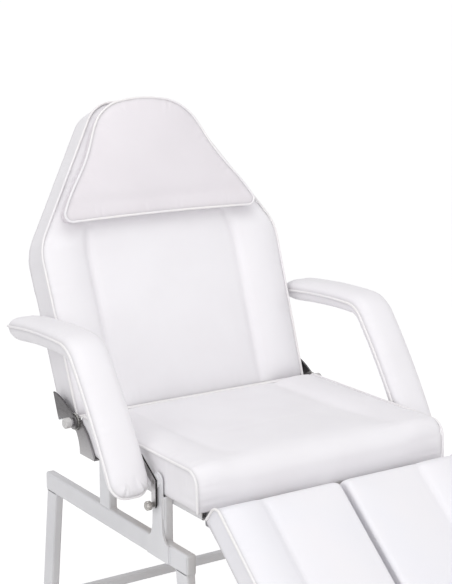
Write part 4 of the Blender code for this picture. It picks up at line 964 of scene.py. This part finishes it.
def arm_form(u, v, w):
    """Straight arm: a full pad over the seam, and a band below that turns in as a quarter of an ellipse."""
    across, along = 2 * u - 1, v * arm_long
    reach = np.minimum(along, arm_long - along)
    left = np.maximum(0.0, ARM_END - reach)
    half = ARM_WIDTH / 2 - ARM_END + np.sqrt(np.maximum(0.0, ARM_END ** 2 - left ** 2))
    end = np.minimum(1.0, reach / np.where(v < 0.5, 2.2 * ARM_END, 1.4 * ARM_END))
    full = ARM_CROWN * (0.10 + 0.90 * np.sqrt(1 - (1 - end) ** 2))
    crown = full * (0.16 + 0.84 * (1 - np.abs(across) ** 3.2) ** 0.7)
    below = np.maximum(0.0, 1 - w / ARM_SEAM)
    tuck = 1 - np.sqrt(1 - (0.98 * below) ** 2)
    along = along - (2 * v - 1) * tuck * np.where(v > 0.5, TIP_TUCK, FOOT_TUCK)
    split = seam_drop(across * half)
    over = np.where(w <= ARM_SEAM, split * w / ARM_SEAM - below * ARM_BASE,
                    split + (w - ARM_SEAM) / (1 - ARM_SEAM) * (crown - split))
    return xyz(across * (half - np.minimum(BAND_TUCK, 0.6 * half) * tuck), along, over)


def arm_held(across, along, over):
    """Sewn along the seam, stapled below."""
    return fading(least(along, arm_long - along, 0.6 * over), fade=0.012)


half = ARM_WIDTH / 2
loop = spaced(rounded_loop(both_sides((half, 0.0, ARM_END), (half, arm_long, ARM_END))), 0.0035, True)
seam = xyz(*loop.T, seam_drop(loop[:, 0]))
levels = np.concatenate([np.linspace(0.0, ARM_SEAM, 9), np.linspace(ARM_SEAM, 1.0, 6)[1:]])
cuts = edge_cuts(22), np.union1d(np.linspace(0.0, 1.0, 120), edge_cuts(90)), levels
cord, cord_faces = swept(seam * CORD_SHARE - CORD_FORWARD, PIPING, (0, 0, 1), True)
for side, sx in SIDES:
    arm = stuffed(f"arm_cover_{side}", arm_form, arm_held, cuts, swell=0.005, even=0.005, force=10.0)
    sewn_to(arm, closed(seam), reach=0.005)
    gathered(arm, seam, height=0.0005, wave=0.028, reach=0.008)
    for end in (seam[seam[:, 1] < ARM_CORNER], seam[seam[:, 1] > arm_long - ARM_CORNER]):
        gathered(arm, end, height=0.0014, wave=0.019, reach=0.014)
    move_to(arm, arm_bent(points_of(arm.data)))
    piping = lay(f"arm_piping_{side}", (arm_bent(cord), cord_faces))
    inside = [f"arm_pad_{side}", f"arm_base_{side}"]
    fit_cover(arm, piping, white_vinyl, f"arm_{side}", ARM_PLACE, inside, sx)


# Leg rests: two vinyl pads on boards, each with a bolster along its outer side and piping on that seam.
# A black flat-steel frame is screwed under each board and turns on a pin in the frame's front bracket.
LEG_SLOPE = radians(40.0)
LEG_PLACE = (LEG_SLOPE, (0.0, SEAT_FRONT - 0.020, SEAT_LOW - 0.026))
LEG_INNER, LEG_WIDE, LEG_HEEL, LEG_LENGTH = 0.006, 0.275, 0.015, 0.460
LEG_BOARD_LOW = 0.0116
LEG_TOP, LEG_HEM = LEG_BOARD_LOW + 0.050, LEG_BOARD_LOW - HEM_DROP
LEG_CROWN, LEG_DISH, LEG_NOSE, LEG_SIDE_NOSE = 0.012, 0.004, 0.018, 0.008
LEG_CREASE = LEG_WIDE - 0.100
LEG_CORNER, LEG_FOLD_END = 0.024, 0.010
LEG_SCREW, LEG_SCREW_X, LEG_SCREW_Y, LEG_STRAP_LOW = 0.0042, (0.075, 0.190), (0.085, 0.200, 0.315), 0.0063
# The leg rests' vinyl is a bluish copy of the white vinyl: the cool tint is painted light, the colour cast of
# the light on them.
VINYL_COOL_LIGHT = (0.842, 0.836, 0.868)


def leg_at(across, along, level):
    """Points of a leg rest from the distances to its inner and upper edges, and the level."""
    return xyz(LEG_INNER + across, LEG_HEEL - along, level)


def leg_form(u, v, w):
    """Leg rest, about its hinge: a bolster along its outer side, round front and rear edges."""
    across, along = u * LEG_WIDE, v * LEG_LENGTH
    ends = nose(along, LEG_NOSE) + nose(LEG_LENGTH - along, LEG_NOSE)
    swell = bolster(across, LEG_WIDE, LEG_CREASE, LEG_CROWN, LEG_DISH)
    swell = swell * clamped(least(along, LEG_LENGTH - along, across) / LEG_NOSE)
    top = LEG_TOP + SLACK * swell - ends - nose(across, LEG_SIDE_NOSE)
    return leg_at(across - drawn_in(v, w) * (2 * u - 1), along, LEG_HEM + w * (top - LEG_HEM))


def leg_held(x, y, z):
    """Sewn along the outer seam, stapled below, drawn in along the crease."""
    across, along = x - LEG_INNER, LEG_HEEL - y
    return fading(least(across, LEG_WIDE - across, along, LEG_LENGTH - along, np.abs(across - LEG_CREASE),
                        z - LEG_HEM - 0.030), fade=0.016)


hem_end = LEG_HEM + FOAM_LIFT
leg_along, level = spaced(np.concatenate([
    [[0.0, hem_end]], arc(LEG_NOSE, LEG_TOP, LEG_NOSE, 2, 1, 10),
    arc(LEG_LENGTH - LEG_NOSE, LEG_TOP, LEG_NOSE, 1, 0, 10), [[LEG_LENGTH, hem_end]]])).T
leg_seam = leg_at(LEG_WIDE, leg_along, level)
leg_ends = leg_seam[leg_along < LEG_CORNER], leg_seam[leg_along > LEG_LENGTH - LEG_CORNER]
hem = spaced([(0.0, 0.0), (LEG_WIDE, 0.0), (LEG_WIDE, LEG_LENGTH), (0.0, LEG_LENGTH)], joined=True)
leg_hem = leg_at(*hem.T, LEG_HEM)
leg_fold = leg_at(LEG_CREASE, np.linspace(LEG_FOLD_END, LEG_LENGTH - LEG_FOLD_END, 90), LEG_TOP - LEG_DISH)
# Painted light: the leg rests wear a cooler copy of the white vinyl.
cool_light_vinyl = vinyl("cool_light_vinyl", VINYL_COOL_LIGHT, VINYL)
black_enamel = coated("black_enamel", (0.030, 0.030, 0.031), (0.045, 0.044, 0.044), 0.36, 500.0)
black_nylon = coated("black_nylon", (0.040, 0.040, 0.040), (0.055, 0.054, 0.053), 0.50, 1200.0)
cuts = edge_cuts(60), edge_cuts(80), np.linspace(0.0, 1.0, 7)
cord = swept(leg_seam + (PIPING_OUT, 0.0, PIPING_OUT), PIPING, (1, 0, 0))
down = (0.0, sin(LEG_SLOPE), -cos(LEG_SLOPE))
for side, sx in SIDES:
    body = f"leg_rest_{side}"
    leg = stuffed(f"leg_cover_{side}", leg_form, leg_held, cuts, swell=0.010, even=0.0065)
    sewn_to(leg, leg_seam)
    sewn_to(leg, leg_hem)
    gathered(leg, leg_seam, height=0.0006, wave=0.027, reach=0.010)
    for end in leg_ends:
        gathered(leg, end, height=0.0011, wave=0.014, reach=0.014)
    pressed(leg, leg_fold, depth=0.0022, width=0.009)
    flattened(leg, LEG_BOARD_LOW, (LEG_INNER, LEG_HEEL - LEG_LENGTH), (LEG_INNER + LEG_WIDE, LEG_HEEL))
    piping = lay(f"leg_piping_{side}", cord)
    fit_cover(leg, piping, cool_light_vinyl, body, LEG_PLACE, [f"leg_cushion_{side}"], sx)
    spots = np.array([(sx * x, -y, LEG_STRAP_LOW) for x in LEG_SCREW_X for y in LEG_SCREW_Y])
    heads = button_heads(carried(spots, *LEG_PLACE), down, LEG_SCREW)
    fit_out(lay(f"leg_screws_{side}", *heads), zinc_plate, body, "zinc")
    coat(black_enamel, f"leg_frame_{side}")
    coat(black_nylon, f"leg_clamp_lever_{side}")
